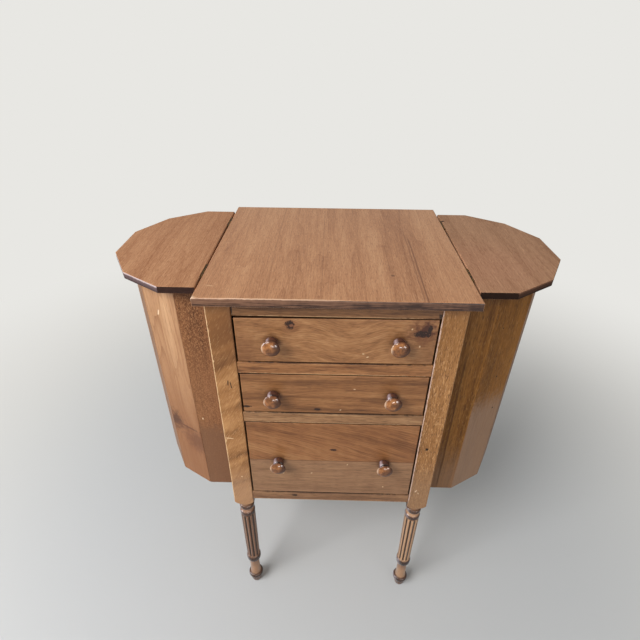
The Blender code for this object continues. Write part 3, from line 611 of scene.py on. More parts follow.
drawerFronts = {
    "roundness": 0.0012,
    "knobsOff": {"upper": {"left": (0.0, -0.0009), "right": (0.0, 0.0014)},
                 "middle": {"left": (-0.0030, -0.0005), "right": (0.0, 0.0)},
                 "lower": {"left": (-0.0012, -0.0014), "right": (0.0004, -0.0020)}},
    "nick": {"size": (0.0019, 0.0012), "tone": (226, 196, 156), "amount": 0.75}, "nickTurn": 30,
    "halo": {"size": 0.0165, "tone": (78, 44, 26), "amount": 0.6, "core": 0.45, "ragged": 0.5},
    "upper": {
        "shift": 0.2, "tones": [(100, 62, 35), (156, 109, 69), (188, 142, 98)], "wander": 0.014,
        "bands": 0.8, "bandSize": (0.11, 0.014),
        "rings": 12.0, "ringDepth": 0.10, "ringSize": (0.30, 0.016),
        "fibreSize": (0.012, 0.0010), "fibres": 1.1, "figure": 0.35, "figureSize": (0.016, 0.008),
        "dips": [{"at": 0.018, "width": 0.062, "depth": 0.013}],
        "stains": [Stain((0.139, faceY, 0.660), 0.075, (98, 62, 38), 0.35, core=0.1, ragged=0.8),
                   Stain((-0.139, faceY, 0.650), 0.055, (110, 68, 40), 0.5, core=0.1, ragged=0.8),
                   Stain((0.119, faceY, 0.686), 0.032, (94, 48, 28), 0.75, core=0.0, ragged=1.5),
                   Stain((0.1225, faceY, 0.6890), 0.0150, (62, 30, 20), 0.85, core=0.1, ragged=2.2),
                   Stain((-0.0625, faceY, 0.6936), 0.017, (122, 72, 44), 0.5, core=0.1)],
        "knots": [Knot((-0.0625, 0.6938), 0.0072, stretch=0.9, push=1.3, dark=1.0),
                  Knot((0.1175, 0.6826), 0.0056, stretch=2.0, push=1.6, dark=1.0),
                  Knot((0.1276, 0.6880), 0.0070, stretch=0.5, push=1.2, dark=0.8)],
        "marks": [Mark((-0.0603, 0.6926), (0.0036, 0.0030), (132, 84, 58), 0.85, turn=20, ragged=0.9)],
        "nicks": [(0.0399, 0.6468), (0.0462, 0.6412), (0.1035, 0.6903), (0.1170, 0.6613)],
        "fit": {"foot": 0.0010, "left": -0.0010, "right": 0.0012}},
    "middle": {
        "shift": 1.1, "tones": [(78, 47, 27), (139, 93, 56), (172, 124, 80)], "wander": 0.010,
        "bands": 1.5, "bandSize": (0.16, 0.010), "ringDepth": 0.14, "fibreSize": (0.018, 0.0013),
        "knots": [Knot((-0.0243, 0.5373), 0.0024, stretch=2.6, push=1.6, dark=0.95),
                  Knot((-0.1330, 0.5408), 0.0028, stretch=2.6, push=1.6, dark=0.95)],
        "nicks": [(0.031, 0.580), (0.011, 0.537)],
        "fit": {"foot": 0.0012, "left": 0.0006, "right": 0.0012}},
    "lower": {
        "shift": 2.3, "tones": [(99, 60, 33), (144, 95, 57), (170, 122, 79)], "wander": 0.020,
        "slope": 0.30, "figure": 0.35, "figureSize": (0.02, 0.03), "fibres": 1.2, "bands": 1.4,
        # the lower board's tones are its own wood and partly a painted reflection
        "joint": {"at": 0.4176, "tone": (92, 57, 38),
                  "tones": [(113, 80, 54), (145, 107, 77), (168, 129, 95)]},
        "knots": [Knot((0.0018, 0.4454), 0.0024, stretch=2.4, push=1.6, dark=0.95)],
        "nicks": [(-0.083, 0.383), (-0.034, 0.385), (0.027, 0.409), (0.092, 0.352)],
        "fit": {"foot": 0.0010, "left": 0.0008, "right": 0.0008}},
}


def frontMesh(node, fit):  # no two drawers hang quite alike in their openings
    shape = bmesh.new()
    low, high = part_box(node)
    for vertex in addBox(shape, low, high):
        if vertex.co.z < (low.z + high.z) / 2:
            vertex.co.z += fit["foot"]
        else:
            vertex.co.z += fit["left"] if vertex.co.x < 0 else fit["right"]
    softenEdges(shape, drawerFronts["roundness"])
    return finishMesh(shape, node)


def knobPlaces(drawer):  # set by hand, so none is quite where its hole was marked
    places = []
    for side in ("left", "right"):
        low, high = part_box(drawer + "_drawer_" + side + "_knob")
        acrossOff, upOff = drawerFronts["knobsOff"][drawer][side]
        places.append(((low.x + high.x) / 2 + acrossOff, (low.z + high.z) / 2 + upOff))
    return places


def makeFronts():
    for drawer in drawers:
        look = {"stains": [], "marks": [], **drawerFronts[drawer]}
        fit = look.pop("fit")
        nicks = [Mark(place, **drawerFronts["nick"], turn=drawerFronts["nickTurn"] * number)
                 for number, place in enumerate(look.pop("nicks"))]
        look["marks"] = look["marks"] + nicks
        halos = [Stain((x, faceY, z), **drawerFronts["halo"]) for x, z in knobPlaces(drawer)]
        look["stains"] = halos + look["stains"]
        # painted shade on the sides of each front, in the gap round it
        finish = woodFinish(drawer + "_drawer_wood", grain="x", wear=0.45, sideDirt=True, **look)
        node = drawer + "_drawer_front"
        dress(addPiece(node, frontMesh(node, fit)), finish)


makeFronts()
print("drawer fronts done")

drawerFrames = {
    "roundness": 0.0009, "railDepth": 0.045, "runnerWidth": 0.032, "shiftStep": 0.7,
    "wearAndHighlight": {"size": (0.15, 0.0012), "tone": (200, 162, 120), "amount": 0.55, "ragged": 1.6},
    # painted shade along the top of each rail, in the gap under the drawer above
    "gapShadow": {"size": (0.15, 0.0013), "tone": (40, 24, 18), "amount": 0.8, "ragged": 1.2},
    # painted shade in the slits at the ends of the top rail
    "slits": [Mark((-0.1404, 0.7185), (0.0022, 0.013), (28, 17, 12), 0.9, ragged=0.4),
              Mark((0.1394, 0.7112), (0.0036, 0.005), (28, 17, 12), 0.9, ragged=0.8)],
    "plain": {"grain": "x", "wear": 0.5, "bands": 1.6, "bandSize": (0.10, 0.006), "fibres": 1.3,
              "fibreSize": (0.020, 0.0014), "flecks": 0.45},
    "rails": {
        # darker than the other rails: painted shade under the overhanging top
        "top_front_rail": {"tones": [(86, 55, 33), (126, 86, 53), (148, 107, 69)]},
        "upper_drawer_frame": {"tones": [(108, 68, 40), (152, 103, 63), (178, 128, 84)]},
        "middle_drawer_frame": {"tones": [(114, 78, 49), (151, 111, 76), (178, 138, 99)]},
        "lower_drawer_frame": {
            "tones": [(100, 67, 43), (137, 98, 68), (160, 121, 86)],
            "knots": [Knot((-0.0644, 0.3223), 0.0028, stretch=1.8, push=1.6, dark=0.95)]}},
}


def railMesh(node):  # a plain rail, or a frame of two rails and two runners
    shape = bmesh.new()
    low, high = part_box(node)
    if node == "top_front_rail":
        addBox(shape, low, high)
    else:
        railLow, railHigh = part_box("top_front_rail")
        depth = drawerFrames["railDepth"]
        inner = high.x - drawerFrames["runnerWidth"]
        addBox(shape, (railLow.x, low.y, low.z), (railHigh.x, low.y + depth, high.z))
        addBox(shape, (railLow.x, high.y - depth, low.z), (railHigh.x, high.y, high.z))
        for side in (-1, 1):
            ends = sorted((side * inner, side * high.x))
            addBox(shape, (ends[0], low.y + depth, low.z), (ends[1], high.y - depth, high.z))
    softenEdges(shape, drawerFrames["roundness"])
    return finishMesh(shape, node)


def makeRails():
    for number, (node, changes) in enumerate(drawerFrames["rails"].items()):
        low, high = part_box(node)
        # a worn pale line along the foot of each rail, and painted shade along its top
        marks = [Mark((0.0, low.z + drawerFrames["roundness"]), **drawerFrames["wearAndHighlight"]),
                 Mark((0.0, high.z), **drawerFrames["gapShadow"])]
        if node == "top_front_rail":
            marks += drawerFrames["slits"]
        shift = drawerFrames["shiftStep"] * number
        look = {**drawerFrames["plain"], **changes, "shift": shift, "marks": marks}
        dress(addPiece(node, railMesh(node)), woodFinish(node + "_wood", **look))


makeRails()
print("rails done")

# Legs, with heights above the floor
legShape = {
    "columns": 200, "spare": 0.001,
    "post": 0.3057, "postRows": 12, "shoulder": 0.2902, "shoulderRadius": 0.01175, "curveRows": 12,
    "rings": [(0.2774, 0.2669), (0.2584, 0.2479)], "ringRadius": 0.01425, "ringGap": 0.002,
    "coveRadius": 0.01225, "coveDepth": 0.0009, "coveRows": 6,
    "reedTop": 0.2479, "reedFoot": 0.1010, "reedTopRadius": 0.0138, "reedFootRadius": 0.0127,
    "reedLap": 0.0005, "reedCount": 10, "reedDepth": 0.0026, "reedRun": 0.004, "reedRows": 64,
    "ankle": (0.1015, 0.0845), "ankleRadius": 0.0146, "ankleInset": 0.0006, "ballRows": 14,
    "neckRadius": 0.0098, "neckFoot": 0.0635, "neckSpread": 0.0008, "neckRows": 5,
    "flareRadius": 0.01175, "ball": (0.0315, 0.0205), "ballRadius": 0.0151, "tipRadius": 0.0075,
    "corner": 28.0, "blend": 0.0006, "arrisPower": 130.0, "arrisFoot": (0.300, 0.308), "arrisMiddle": 0.001,
    "arrisRightLess": 0.65, "sharp": 50,
}


def between(start, end, part):
    return start + (end - start) * part


def straightLine(start, end, rows):  # points of radius and height, after the start
    return [(between(start[0], end[0], row / rows), between(start[1], end[1], row / rows))
            for row in range(1, rows + 1)]


def quarterLine(start, end, rows, upright):  # a quarter ellipse that leaves its start upright or level
    line = []
    for row in range(1, rows + 1):
        angle = math.pi / 2 * row / rows
        inwards, downwards = math.sin(angle), 1 - math.cos(angle)
        if upright:
            inwards, downwards = downwards, inwards
        line.append((between(start[0], end[0], inwards), between(start[1], end[1], downwards)))
    return line


def beadLine(top, foot, sideRadius, radius, rows=10):
    middle, half = (top + foot) / 2, (top - foot) / 2
    angles = [math.pi * row / rows for row in range(rows + 1)]
    return [(between(sideRadius, radius, math.sin(angle)), middle + half * math.cos(angle))
            for angle in angles]


def legLine(leg, top, corner):  # radius and height, from the top down
    upper, lower = leg["rings"]
    shoulder, rows = leg["shoulderRadius"], leg["curveRows"]
    line = [(corner, top), (corner, top - leg["spare"])]
    line += straightLine((corner, top), (corner, leg["post"]), leg["postRows"])
    line += quarterLine((corner, leg["post"]), (shoulder, leg["shoulder"]), rows, True)  # under the square
    line.append((shoulder, upper[0] + leg["ringGap"]))
    line += beadLine(*upper, shoulder, leg["ringRadius"])
    for row in range(1, leg["coveRows"]):  # the cove between the rings
        part = row / leg["coveRows"]
        line.append((leg["coveRadius"] - leg["coveDepth"] * math.sin(math.pi * part),
                     between(upper[1], lower[0], part)))
    line += beadLine(*lower, leg["coveRadius"], leg["ringRadius"])
    reedStart = (leg["reedTopRadius"], leg["reedTop"] - leg["reedLap"])
    reedEnd = (leg["reedFootRadius"], leg["reedFoot"] + leg["reedLap"])
    line += [reedStart] + straightLine(reedStart, reedEnd, leg["reedRows"])
    ankleRadius = leg["reedFootRadius"] - leg["ankleInset"]
    line += beadLine(*leg["ankle"], ankleRadius, leg["ankleRadius"], leg["ballRows"])
    for row in range(1, leg["neckRows"] + 1):
        part = row / leg["neckRows"]
        line.append((leg["neckRadius"] + leg["neckSpread"] * (1 - math.sin(math.pi / 2 * part)),
                     between(leg["ankle"][1], leg["neckFoot"], part)))
    ballTop, ballFoot = leg["ball"]
    flare = leg["flareRadius"]
    line += quarterLine((leg["neckRadius"], leg["neckFoot"]), (flare, ballTop), rows, True)
    line += beadLine(ballTop, ballFoot, flare, leg["ballRadius"], leg["ballRows"])[1:]
    return line + quarterLine((flare, ballFoot), (leg["tipRadius"], 0.0), rows, True)


def turnedMesh(name, line, columns):  # sweeps a line about the upright axis and closes both ends
    vertices = []
    faces = []
    for radius, height in line:
        for column in range(columns):
            angle = 2 * math.pi * column / columns
            vertices.append((radius * math.cos(angle), radius * math.sin(angle), height))
    for row in range(len(line) - 1):
        for column in range(columns):
            after = (column + 1) % columns
            faces.append((row * columns + column, (row + 1) * columns + column,
                          (row + 1) * columns + after, row * columns + after))
    last = (len(line) - 1) * columns
    vertices += [(0.0, 0.0, line[0][1]), (0.0, 0.0, line[-1][1])]
    for column in range(columns):
        after = (column + 1) % columns
        faces.append((len(vertices) - 2, column, after))
        faces.append((len(vertices) - 1, last + after, last + column))
    mesh = bpy.data.meshes.new(name)
    mesh.from_pydata(vertices, [], faces)
    return mesh


def smoothTurning(mesh):
    mesh.shade_smooth()
    mesh.set_sharp_from_angle(angle=math.radians(legShape["sharp"]))


def newTree(name, *numbers, **others):  # a tree with named inputs for sizes, and others of a given kind
    tree = bpy.data.node_groups.new(name, "GeometryNodeTree")
    tree.interface.new_socket("Geometry", in_out="INPUT", socket_type="NodeSocketGeometry")
    tree.interface.new_socket("Geometry", in_out="OUTPUT", socket_type="NodeSocketGeometry")
    for title, kind in {**dict.fromkeys(numbers, "Float"), **others, "Finish": "Material"}.items():
        tree.interface.new_socket(title, in_out="INPUT", socket_type="NodeSocket" + kind)
    entry = tree.nodes.new("NodeGroupInput")
    return tree, {socket.name: Wire(tree, socket) for socket in entry.outputs if socket.name}


def closeTree(solid, finish):
    solid = solid.add("GeometryNodeRealizeInstances", {}, {0: solid})
    solid = solid.add("GeometryNodeSetMaterial", {}, {"Geometry": solid, "Material": finish})
    out = solid.tree.nodes.new("NodeGroupOutput")
    solid.tree.links.new(solid.socket, out.inputs[0])


def runTree(name, mesh, tree, values):  # the plain mesh that a tree makes
    holder = addObject(name, mesh)
    modifier = holder.modifiers.new(name, "NODES")
    modifier.node_group = tree
    for item in tree.interface.items_tree:
        if item.in_out == "INPUT" and item.name in values:
            modifier[item.identifier] = values[item.name]
    return plainCopy(holder)


def reedTree(leg):  # squares the post and carves the reeds of a turned blank
    tree, given = newTree("reed_and_square", "Post Half", "Corner", "Reed Count", "Reed Depth", "Reed Top",
                          "Reed Foot", "Reed Run")
    wire = Wire(tree)
    x, y, z = wire.add("GeometryNodeInputPosition", {}, {}).parts()
    radius = (x * x + y * y) ** 0.5
    angle = y.maths("ARCTAN2", y, x)
    ridge = abs(angle.maths("SINE", angle * given["Reed Count"] * 0.5))
    inside = z.rise(given["Reed Foot"], given["Reed Foot"] + given["Reed Run"])
    inside = inside * z.fall(given["Reed Top"] - given["Reed Run"], given["Reed Top"])
    hollow = inside * (1 - ridge)
    reeded = radius - hollow * given["Reed Depth"]
    someRadius = radius + 0.000001  # never nothing, so that it can divide
    acrossX = abs(x) / someRadius
    acrossY = abs(y) / someRadius
    power = given["Corner"]
    square = given["Post Half"] / (acrossX ** power + acrossY ** power) ** (1 / power)
    scale = reeded.maths("SMOOTH_MIN", reeded, square, leg["blend"]) / someRadius
    shaped = wire.add("GeometryNodeSetPosition", {}, {"Geometry": given["Geometry"],
                                                      "Position": wire.vector(x * scale, y * scale, z)})
    wearAndHighlight = 1 - x.rise(-leg["arrisMiddle"], leg["arrisMiddle"]) * leg["arrisRightLess"]  # more on the left: wear and a painted highlight
    arris = (acrossX * acrossY * 2) ** leg["arrisPower"] * z.rise(*leg["arrisFoot"]) * wearAndHighlight
    for title, value in (("edge", arris), ("hollow", hollow)):
        shaped = wire.add("GeometryNodeStoreNamedAttribute", {"data_type": "FLOAT", "domain": "POINT"},
                          {"Geometry": shaped, "Name": title, "Value": value})
    closeTree(shaped, given["Finish"])
    return tree


legWood = {
    "plain": {
        "tones": [(118, 76, 42), (170, 120, 74), (198, 148, 96)], "flecks": 0.45, "fleckTone": (92, 56, 30),
        "fleckSize": (0.008, 0.0011), "fibreSize": (0.030, 0.0016), "glints": 0.35,
        "glintTone": (214, 168, 118), "wear": 0.62, "wearTone": (218, 180, 136), "specks": 0.3,
        # painted shade on the side of each post beside the drawers
        "innerShade": (postY, 0.1413), "coatRough": 0.10},
    "turned": {
        "axis": "z", "start": 0.0, "polish": 0.20, "gloss": 0.90,
        # lit is a painted highlight on the left of the rings
        "hollow": (38, 20, 12), "lit": (206, 190, 198),
        "tones": {"tip": (84, 52, 38), "ball": (44, 27, 25), "neck": (178, 138, 106), "ring": (42, 26, 25),
                  "ringEdge": (74, 48, 40), "cove": (188, 146, 114), "reed": (190, 146, 108),
                  "collar": (126, 86, 60), "post": (170, 120, 74)},
        "bands": [(0.000, "tip", 0.80), (0.012, "tip", 0.85), (0.018, "ball", 0.92), (0.0295, "ball", 0.95),
                  (0.0318, "ringEdge", 0.85), (0.0355, "neck", 0.70), (0.060, "neck", 0.60),
                  (0.076, "collar", 0.60), (0.0835, "collar", 0.75), (0.0850, "ringEdge", 0.90),
                  (0.090, "ring", 0.95), (0.098, "ring", 0.95), (0.1005, "ringEdge", 0.85),
                  (0.1025, "reed", 0.75), (0.2465, "reed", 0.75), (0.2482, "ringEdge", 0.90),
                  (0.2532, "ring", 0.95), (0.2575, "ringEdge", 0.90), (0.2590, "cove", 0.70),
                  (0.2662, "cove", 0.70), (0.2674, "ringEdge", 0.90), (0.2722, "ring", 0.95),
                  (0.2772, "ringEdge", 0.80), (0.2795, "collar", 0.60), (0.2900, "post", 0.20),
                  (0.308, "post", 0.0)]},
    "front_left_leg": {
        "shift": 0.4, "slope": -0.50, "figure": 1.5, "figureSize": (0.022, 0.110), "figureLean": 0.6,
        "flecks": 0.22, "fibres": 0.6, "bands": 0.5,
        "tones": [(100, 62, 31), (160, 111, 65), (194, 145, 94)],
        # the second wash darkens the top of the post: painted shade under the overhanging top
        "washes": [Wash(0.42, 0.33, (178, 138, 106), 0.65), Wash(0.56, 0.69, (110, 67, 30), 0.65)],
        "marks": [Mark((0.588, -0.1575), (0.0075, 0.0011), (52, 32, 22), turn=4),
                  Mark((0.584, -0.1535), (0.0075, 0.0010), (60, 38, 26), turn=-6),
                  Mark((0.469, -0.1678), (0.0011, 0.0078), (226, 194, 152), turn=6),
                  Mark((0.463, -0.1735), (0.0060, 0.0009), (220, 186, 144), turn=20),
                  Mark((0.629, -0.1740), (0.0020, 0.0013), (228, 196, 150)),
                  Mark((0.442, -0.1755), (0.0024, 0.0013), (228, 196, 150), turn=20),
                  Mark((0.372, -0.1560), (0.0016, 0.0011), (232, 204, 164), turn=20)]},
    "front_right_leg": {
        "shift": 1.9, "flecks": 0.75, "fibres": 1.3, "glints": 0.55,
        # pale edges: wear and a painted highlight, more on the left
        "wear": 0.56, "wearTone": (194, 166, 152),
        "tones": [(102, 64, 29), (154, 106, 59), (188, 137, 84)],
        # the second wash darkens the top of the post: painted shade under the overhanging top
        "washes": [Wash(0.44, 0.34, (148, 116, 88), 0.65), Wash(0.60, 0.70, (126, 81, 30), 0.52)],
        "marks": [Mark((0.4528, 0.1558), (0.0034, 0.0031), (16, 9, 7)),
                  Mark((0.3435, 0.1514), (0.0040, 0.0016), (216, 190, 160), turn=25),
                  Mark((0.3370, 0.1560), (0.0026, 0.0012), (208, 180, 148), turn=-15)]},
    "back_left_leg": {"shift": 3.1},
    "back_right_leg": {"shift": 4.6},
    "turnedTones": {
        # the front left leg's turned bands are darker: painted shade
        "front_left_leg": {"reed": (115, 77, 55), "cove": (160, 118, 96), "neck": (160, 120, 94)},
        "front_right_leg": {"reed": (196, 152, 114)}},
}


def makeLegs():
    leg = legShape
    tree = reedTree(leg)
    low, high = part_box("front_left_leg")
    half = (high.x - low.x) / 2
    corner = half * math.sqrt(2) + leg["spare"]
    blank = turnedMesh("leg_blank", legLine(leg, high.z, corner), leg["columns"])
    turned = legWood["turned"]
    for node in ("front_left_leg", "front_right_leg", "back_left_leg", "back_right_leg"):
        tones = {**turned["tones"], **legWood["turnedTones"].get(node, {})}
        look = {**legWood["plain"], **legWood[node], "turned": {**turned, "tones": tones}}
        values = {"Post Half": half, "Corner": leg["corner"], "Reed Count": float(leg["reedCount"]),
                  "Reed Depth": leg["reedDepth"], "Reed Top": leg["reedTop"], "Reed Foot": leg["reedFoot"],
                  "Reed Run": leg["reedRun"], "Finish": woodFinish(node + "_wood", **look)}
        mesh = runTree(node, blank.copy(), tree, values)
        smoothTurning(mesh)
        low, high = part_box(node)
        mesh.transform(Matrix.Translation(((low.x + high.x) / 2, (low.y + high.y) / 2, 0)))
        addPiece(node, mesh)


makeLegs()
print("legs done")

knobShape = {
    "columns": 64, "length": 0.0222, "headRadius": 0.013, "crown": 0.0040, "domePower": 3.0, "rim": 0.0008,
    "cup": 0.0046, "neckRadius": 0.0062, "bulbRadius": 0.0092, "bulbMiddle": 0.0045, "bulb": 0.0064,
    "baseRadius": 0.0080, "domeRows": 16, "rimRows": 10, "cupRows": 10, "bulbRows": 12, "seatRows": 6,
}


def knobLine(knob):  # radius and distance from the drawer, from the face of the head inwards
    rim = knob["rim"]
    power = knob["domePower"]
    widest = knob["length"] - knob["crown"]
    lean = math.atan(power * knob["crown"] / knob["headRadius"])  # of the dome where it meets its rim
    domeRadius = knob["headRadius"] - rim * (1 - math.sin(lean))
    domeFoot = widest - rim * (1 - math.cos(lean))
    inset = knob["headRadius"] - rim
    line = []
    for row in range(1, knob["domeRows"] + 1):  # the shallow dome
        part = row / knob["domeRows"]
        line.append((domeRadius * part, between(knob["length"], domeFoot, part ** power)))
    for row in range(1, knob["rimRows"] + 1):  # the rounded rim
        angle = math.pi / 2 - lean - (math.pi - lean) * row / knob["rimRows"]
        line.append((inset + rim * math.cos(angle), widest - rim + rim * math.sin(angle)))
    cupTop = widest - 2 * rim
    neck, bulb = knob["neckRadius"], knob["bulbRadius"]
    bulbMiddle = knob["bulbMiddle"]
    line += quarterLine((inset, cupTop), (neck, cupTop - knob["cup"]), knob["cupRows"], False)
    line += quarterLine((neck, bulbMiddle + knob["bulb"]), (bulb, bulbMiddle), knob["bulbRows"], False)
    for row in range(1, knob["seatRows"] + 1):  # drawn in to its seat on the drawer
        part = row / knob["seatRows"]
        line.append((between(bulb, knob["baseRadius"], part ** 2), bulbMiddle * (1 - part)))
    return line


knobWood = {
    "grain": "y", "tones": [(70, 37, 20), (136, 83, 43), (178, 121, 72)], "fibreSize": (0.030, 0.0022),
    "bands": 2.6, "bandSize": (0.05, 0.008), "rough": 0.34, "shine": 0.12, "coat": 0.50, "coatRough": 0.08,
    # painted light and shade on each knob
    "paintedKnobLight": {"shade": (70, 38, 23), "face": (232, 200, 170), "bulb": (216, 200, 210)},
    "bump": 0.05, "flecks": 0.35, "fleckSize": (0.02, 0.0016), "wear": 0.0,
    "turned": {
        "axis": "y", "start": faceY, "polish": 0.06, "gloss": 0.30, "hollow": (40, 24, 18), "lit": None,
        "tones": {"seat": (48, 29, 24), "bulb": (82, 54, 48), "neck": (40, 24, 20), "rim": (112, 70, 48),
                  "face": (172, 116, 70)},
        "bands": [(0.0, "seat", 0.90), (0.0018, "bulb", 0.88), (0.0075, "bulb", 0.88),
                  (0.0105, "neck", 0.92), (0.0158, "neck", 0.85), (0.0172, "rim", 0.70),
                  (0.0186, "rim", 0.55), (0.0198, "face", 0.30), (0.0225, "face", 0.20)]},
}


def makeKnobs():
    finish = woodFinish("glossy_knob_wood", **knobWood)
    shape = turnedMesh("knob", knobLine(knobShape), knobShape["columns"])
    shape.transform(Matrix.Rotation(math.pi / 2, 4, "X"))
    smoothTurning(shape)
    for drawer in drawers:
        for side, (x, z) in zip(("left", "right"), knobPlaces(drawer)):
            mesh = shape.copy()
            mesh.transform(Matrix.Translation((x, faceY, z)))
            dress(addPiece(drawer + "_drawer_" + side + "_knob", mesh), finish)


makeKnobs()
print("knobs done")

staveWood = {
    "roundness": 0.0008, "sameSpot": 0.00001, "sameFace": 0.02,
    "boards": {"left": 2.1, "right": 5.3}, "boardStep": 0.37,  # each is cut from another place in the tree
    "places": ("front", "front_corner", "front_bevel", "outer", "back_bevel", "back_corner", "back"),
    "plain": {"tones": [(98, 62, 36), (136, 91, 54), (162, 116, 74)]},
    # painted shadow of the lid across the top of each stave
    "paintedLidShadow": {"start": 0.700, "full": 0.7305, "tone": (50, 31, 19), "ragged": 0.004},
    "left_pocket_front_stave": {
        "shift": 0.5, "tones": [(84, 52, 33), (127, 83, 53), (154, 107, 71)], "flecks": 0.75, "under": 0.6,
        "fleckTone": (68, 42, 27), "fleckSize": (0.0034, 0.0013),
        "glints": 0.70, "glintTone": (164, 117, 80), "glintReach": 0.52, "shine": 0.12, "coat": 0.02,
        # the second wash, greyer towards the foot, is a painted reflection
        "washes": [Wash(0.66, 0.55, (152, 106, 72), 0.5), Wash(0.475, 0.44, (122, 87, 64), 0.85)],
        "marks": [Mark((0.476, -0.219), (0.0022, 0.0013), (226, 196, 160))]},
    "left_pocket_front_corner_stave": {
        "shift": 1.3, "tones": [(134, 86, 49), (176, 131, 92), (203, 161, 120)], "flecks": 0.2,
        "wander": 0.026, "under": 0.35, "bands": 1.0, "bandSize": (0.4, 0.024),
        "rings": 9.0, "ringDepth": 0.30, "ringSize": (0.30, 0.030),
        "knots": [Knot((0.440, -0.2835), 0.012, stretch=1.0, push=2.2, dark=0.16)],
        # darker towards the foot: partly the wood's tone and partly painted shade
        "washes": [Wash(0.68, 0.38, (136, 84, 44), 0.85)],
        "stains": [Stain((-0.238, -0.1148, 0.412), 0.044, (104, 60, 32), 0.75, core=0.15, ragged=0.9),
                   Stain((-0.282, -0.0886, 0.443), 0.034, (78, 45, 25), 0.90, core=0.05, ragged=1.2)],
        "marks": [Mark((0.4385, -0.258), (0.0024, 0.034), (96, 54, 30), 0.85),
                  Mark((0.675, -0.263), (0.006, 0.0012), (236, 210, 178), turn=15)]},
    "right_pocket_front_stave": {
        "shift": 2.2, "tones": [(82, 50, 18), (128, 84, 37), (156, 110, 56)], "bands": 1.5, "shine": 0.10,
        "coat": 0.01, "bandSize": (0.9, 0.009), "flecks": 0.55, "glints": 0.4, "glintTone": (164, 120, 72),
        # paler and greyer towards the foot: painted reflection
        "under": 0.6, "washes": [Wash(0.45, 0.33, (136, 106, 84), 0.7)],
        "veins": [Vein(0.1985, 0.0022, (0.33, 0.60), (66, 40, 18), 0.55),
                  Vein(0.1890, 0.0030, (0.52, 0.70), (72, 46, 20), 0.35)]},
    "right_pocket_front_corner_stave": {
        "shift": 3.4, "tones": [(94, 58, 20), (138, 90, 37), (164, 114, 55)], "flecks": 0.45, "glints": 0.4,
        "under": 0.6, "glintTone": (172, 128, 78), "wear": 0.85, "wearTone": (196, 154, 108), "shine": 0.10,
        # paler and greyer below: painted reflection
        "coat": 0.01, "washes": [Wash(0.545, 0.485, (154, 126, 106), 0.80)],
        "marks": [Mark((0.605, 0.2264), (0.115, 0.0015), (194, 154, 106), 0.9, ragged=1.2),
                  Mark((0.665, 0.246), (0.0015, 0.0013), (28, 16, 10)),
                  Mark((0.566, 0.261), (0.0015, 0.0013), (28, 16, 10)),
                  Mark((0.492, 0.272), (0.0019, 0.0015), (28, 16, 10))]},
}


def staveMesh(node, board):  # the CAD shape with rounded edges
    shape = bmesh.new()
    shape.from_mesh(cadNodes[node].data)
    bmesh.ops.remove_doubles(shape, verts=shape.verts, dist=staveWood["sameSpot"])
    bmesh.ops.dissolve_limit(shape, angle_limit=staveWood["sameFace"], verts=shape.verts, edges=shape.edges)
    softenEdges(shape, staveWood["roundness"])
    return finishMesh(shape, node, board)


def makePockets():
    plain = woodFinish("plain_stave", **staveWood["plain"])
    for side, firstBoard in staveWood["boards"].items():
        for number, place in enumerate(staveWood["places"]):
            node = side + "_pocket_" + place + "_stave"
            finish = plain
            if node in staveWood:
                look = {**staveWood[node]}
                # painted shadow under the lid
                shade = Wash(amount=look.pop("under"), **staveWood["paintedLidShadow"])
                look["washes"] = look["washes"] + [shade]
                finish = woodFinish(node + "_wood", **look)
            dress(addPiece(node, staveMesh(node, firstBoard + number * staveWood["boardStep"])), finish)


makePockets()
print("pockets done")

hingeBrass = {"dark": (60, 45, 29), "bright": (142, 110, 62), "size": (0.004,), "metallic": 0.9,
              "rough": 0.3, "stainRough": 0.35}


def agedBrass():
    material, wire, shader = newFinish("aged_brass")
    stain = wire.add("ShaderNodeTexCoord", {}, {}, "Object").noise(hingeBrass["size"], 4.0)
    tone = stain.ramp([(0.3, paint(*hingeBrass["dark"])), (0.7, paint(*hingeBrass["bright"]))])
    rough = hingeBrass["rough"] + stain * hingeBrass["stainRough"]
    feed(wire, shader, Base_Color=tone, Metallic=hingeBrass["metallic"], Roughness=rough)
    return material


insideWoods = {
    "raw_cross_wood": {
        "places": ("drawer_back", "drawer_bottom", "pocket_floor"), "grain": "x", "flecks": 0.2,
        "tones": [(164, 124, 80), (196, 160, 112), (216, 184, 138)], "coat": 0.0, "rough": 0.62},
    "raw_side_wood": {
        "places": ("drawer_left_side", "drawer_right_side"), "grain": "y", "flecks": 0.2,
        "tones": [(160, 120, 76), (192, 156, 108), (212, 180, 134)], "coat": 0.0, "rough": 0.62},
    "side_panel_wood": {
        "places": ("side_panel",), "tones": [(98, 62, 38), (134, 92, 58), (158, 116, 76)]},
    "back_panel_wood": {
        "places": ("back_panel",), "tones": [(126, 90, 56), (160, 122, 82), (184, 146, 104)],
        "coat": 0.0, "rough": 0.6},
    "back_rail_wood": {"places": ("top_back_rail",), "grain": "x", "coat": 0.0, "rough": 0.6},
}


def dressCad(brass):  # pieces that keep their CAD shape
    finishes = [(("_leaf",), brass)]
    for name, look in insideWoods.items():
        look = {**look}
        finishes.append((look.pop("places"), woodFinish(name, **look)))
    for node, piece in cadNodes.items():
        for places, finish in finishes:
            if node.endswith(places):
                dress(piece, finish)


hingeScrews = {"leafThickness": 0.0009, "headRadius": 0.0014, "headHeight": 0.0004, "sunk": 0.0002,
               "slotWidth": 0.0004, "slotLift": 0.7, "sides": 20, "spacing": 0.013, "aboveFoot": 0.0033,
               "seed": 7}


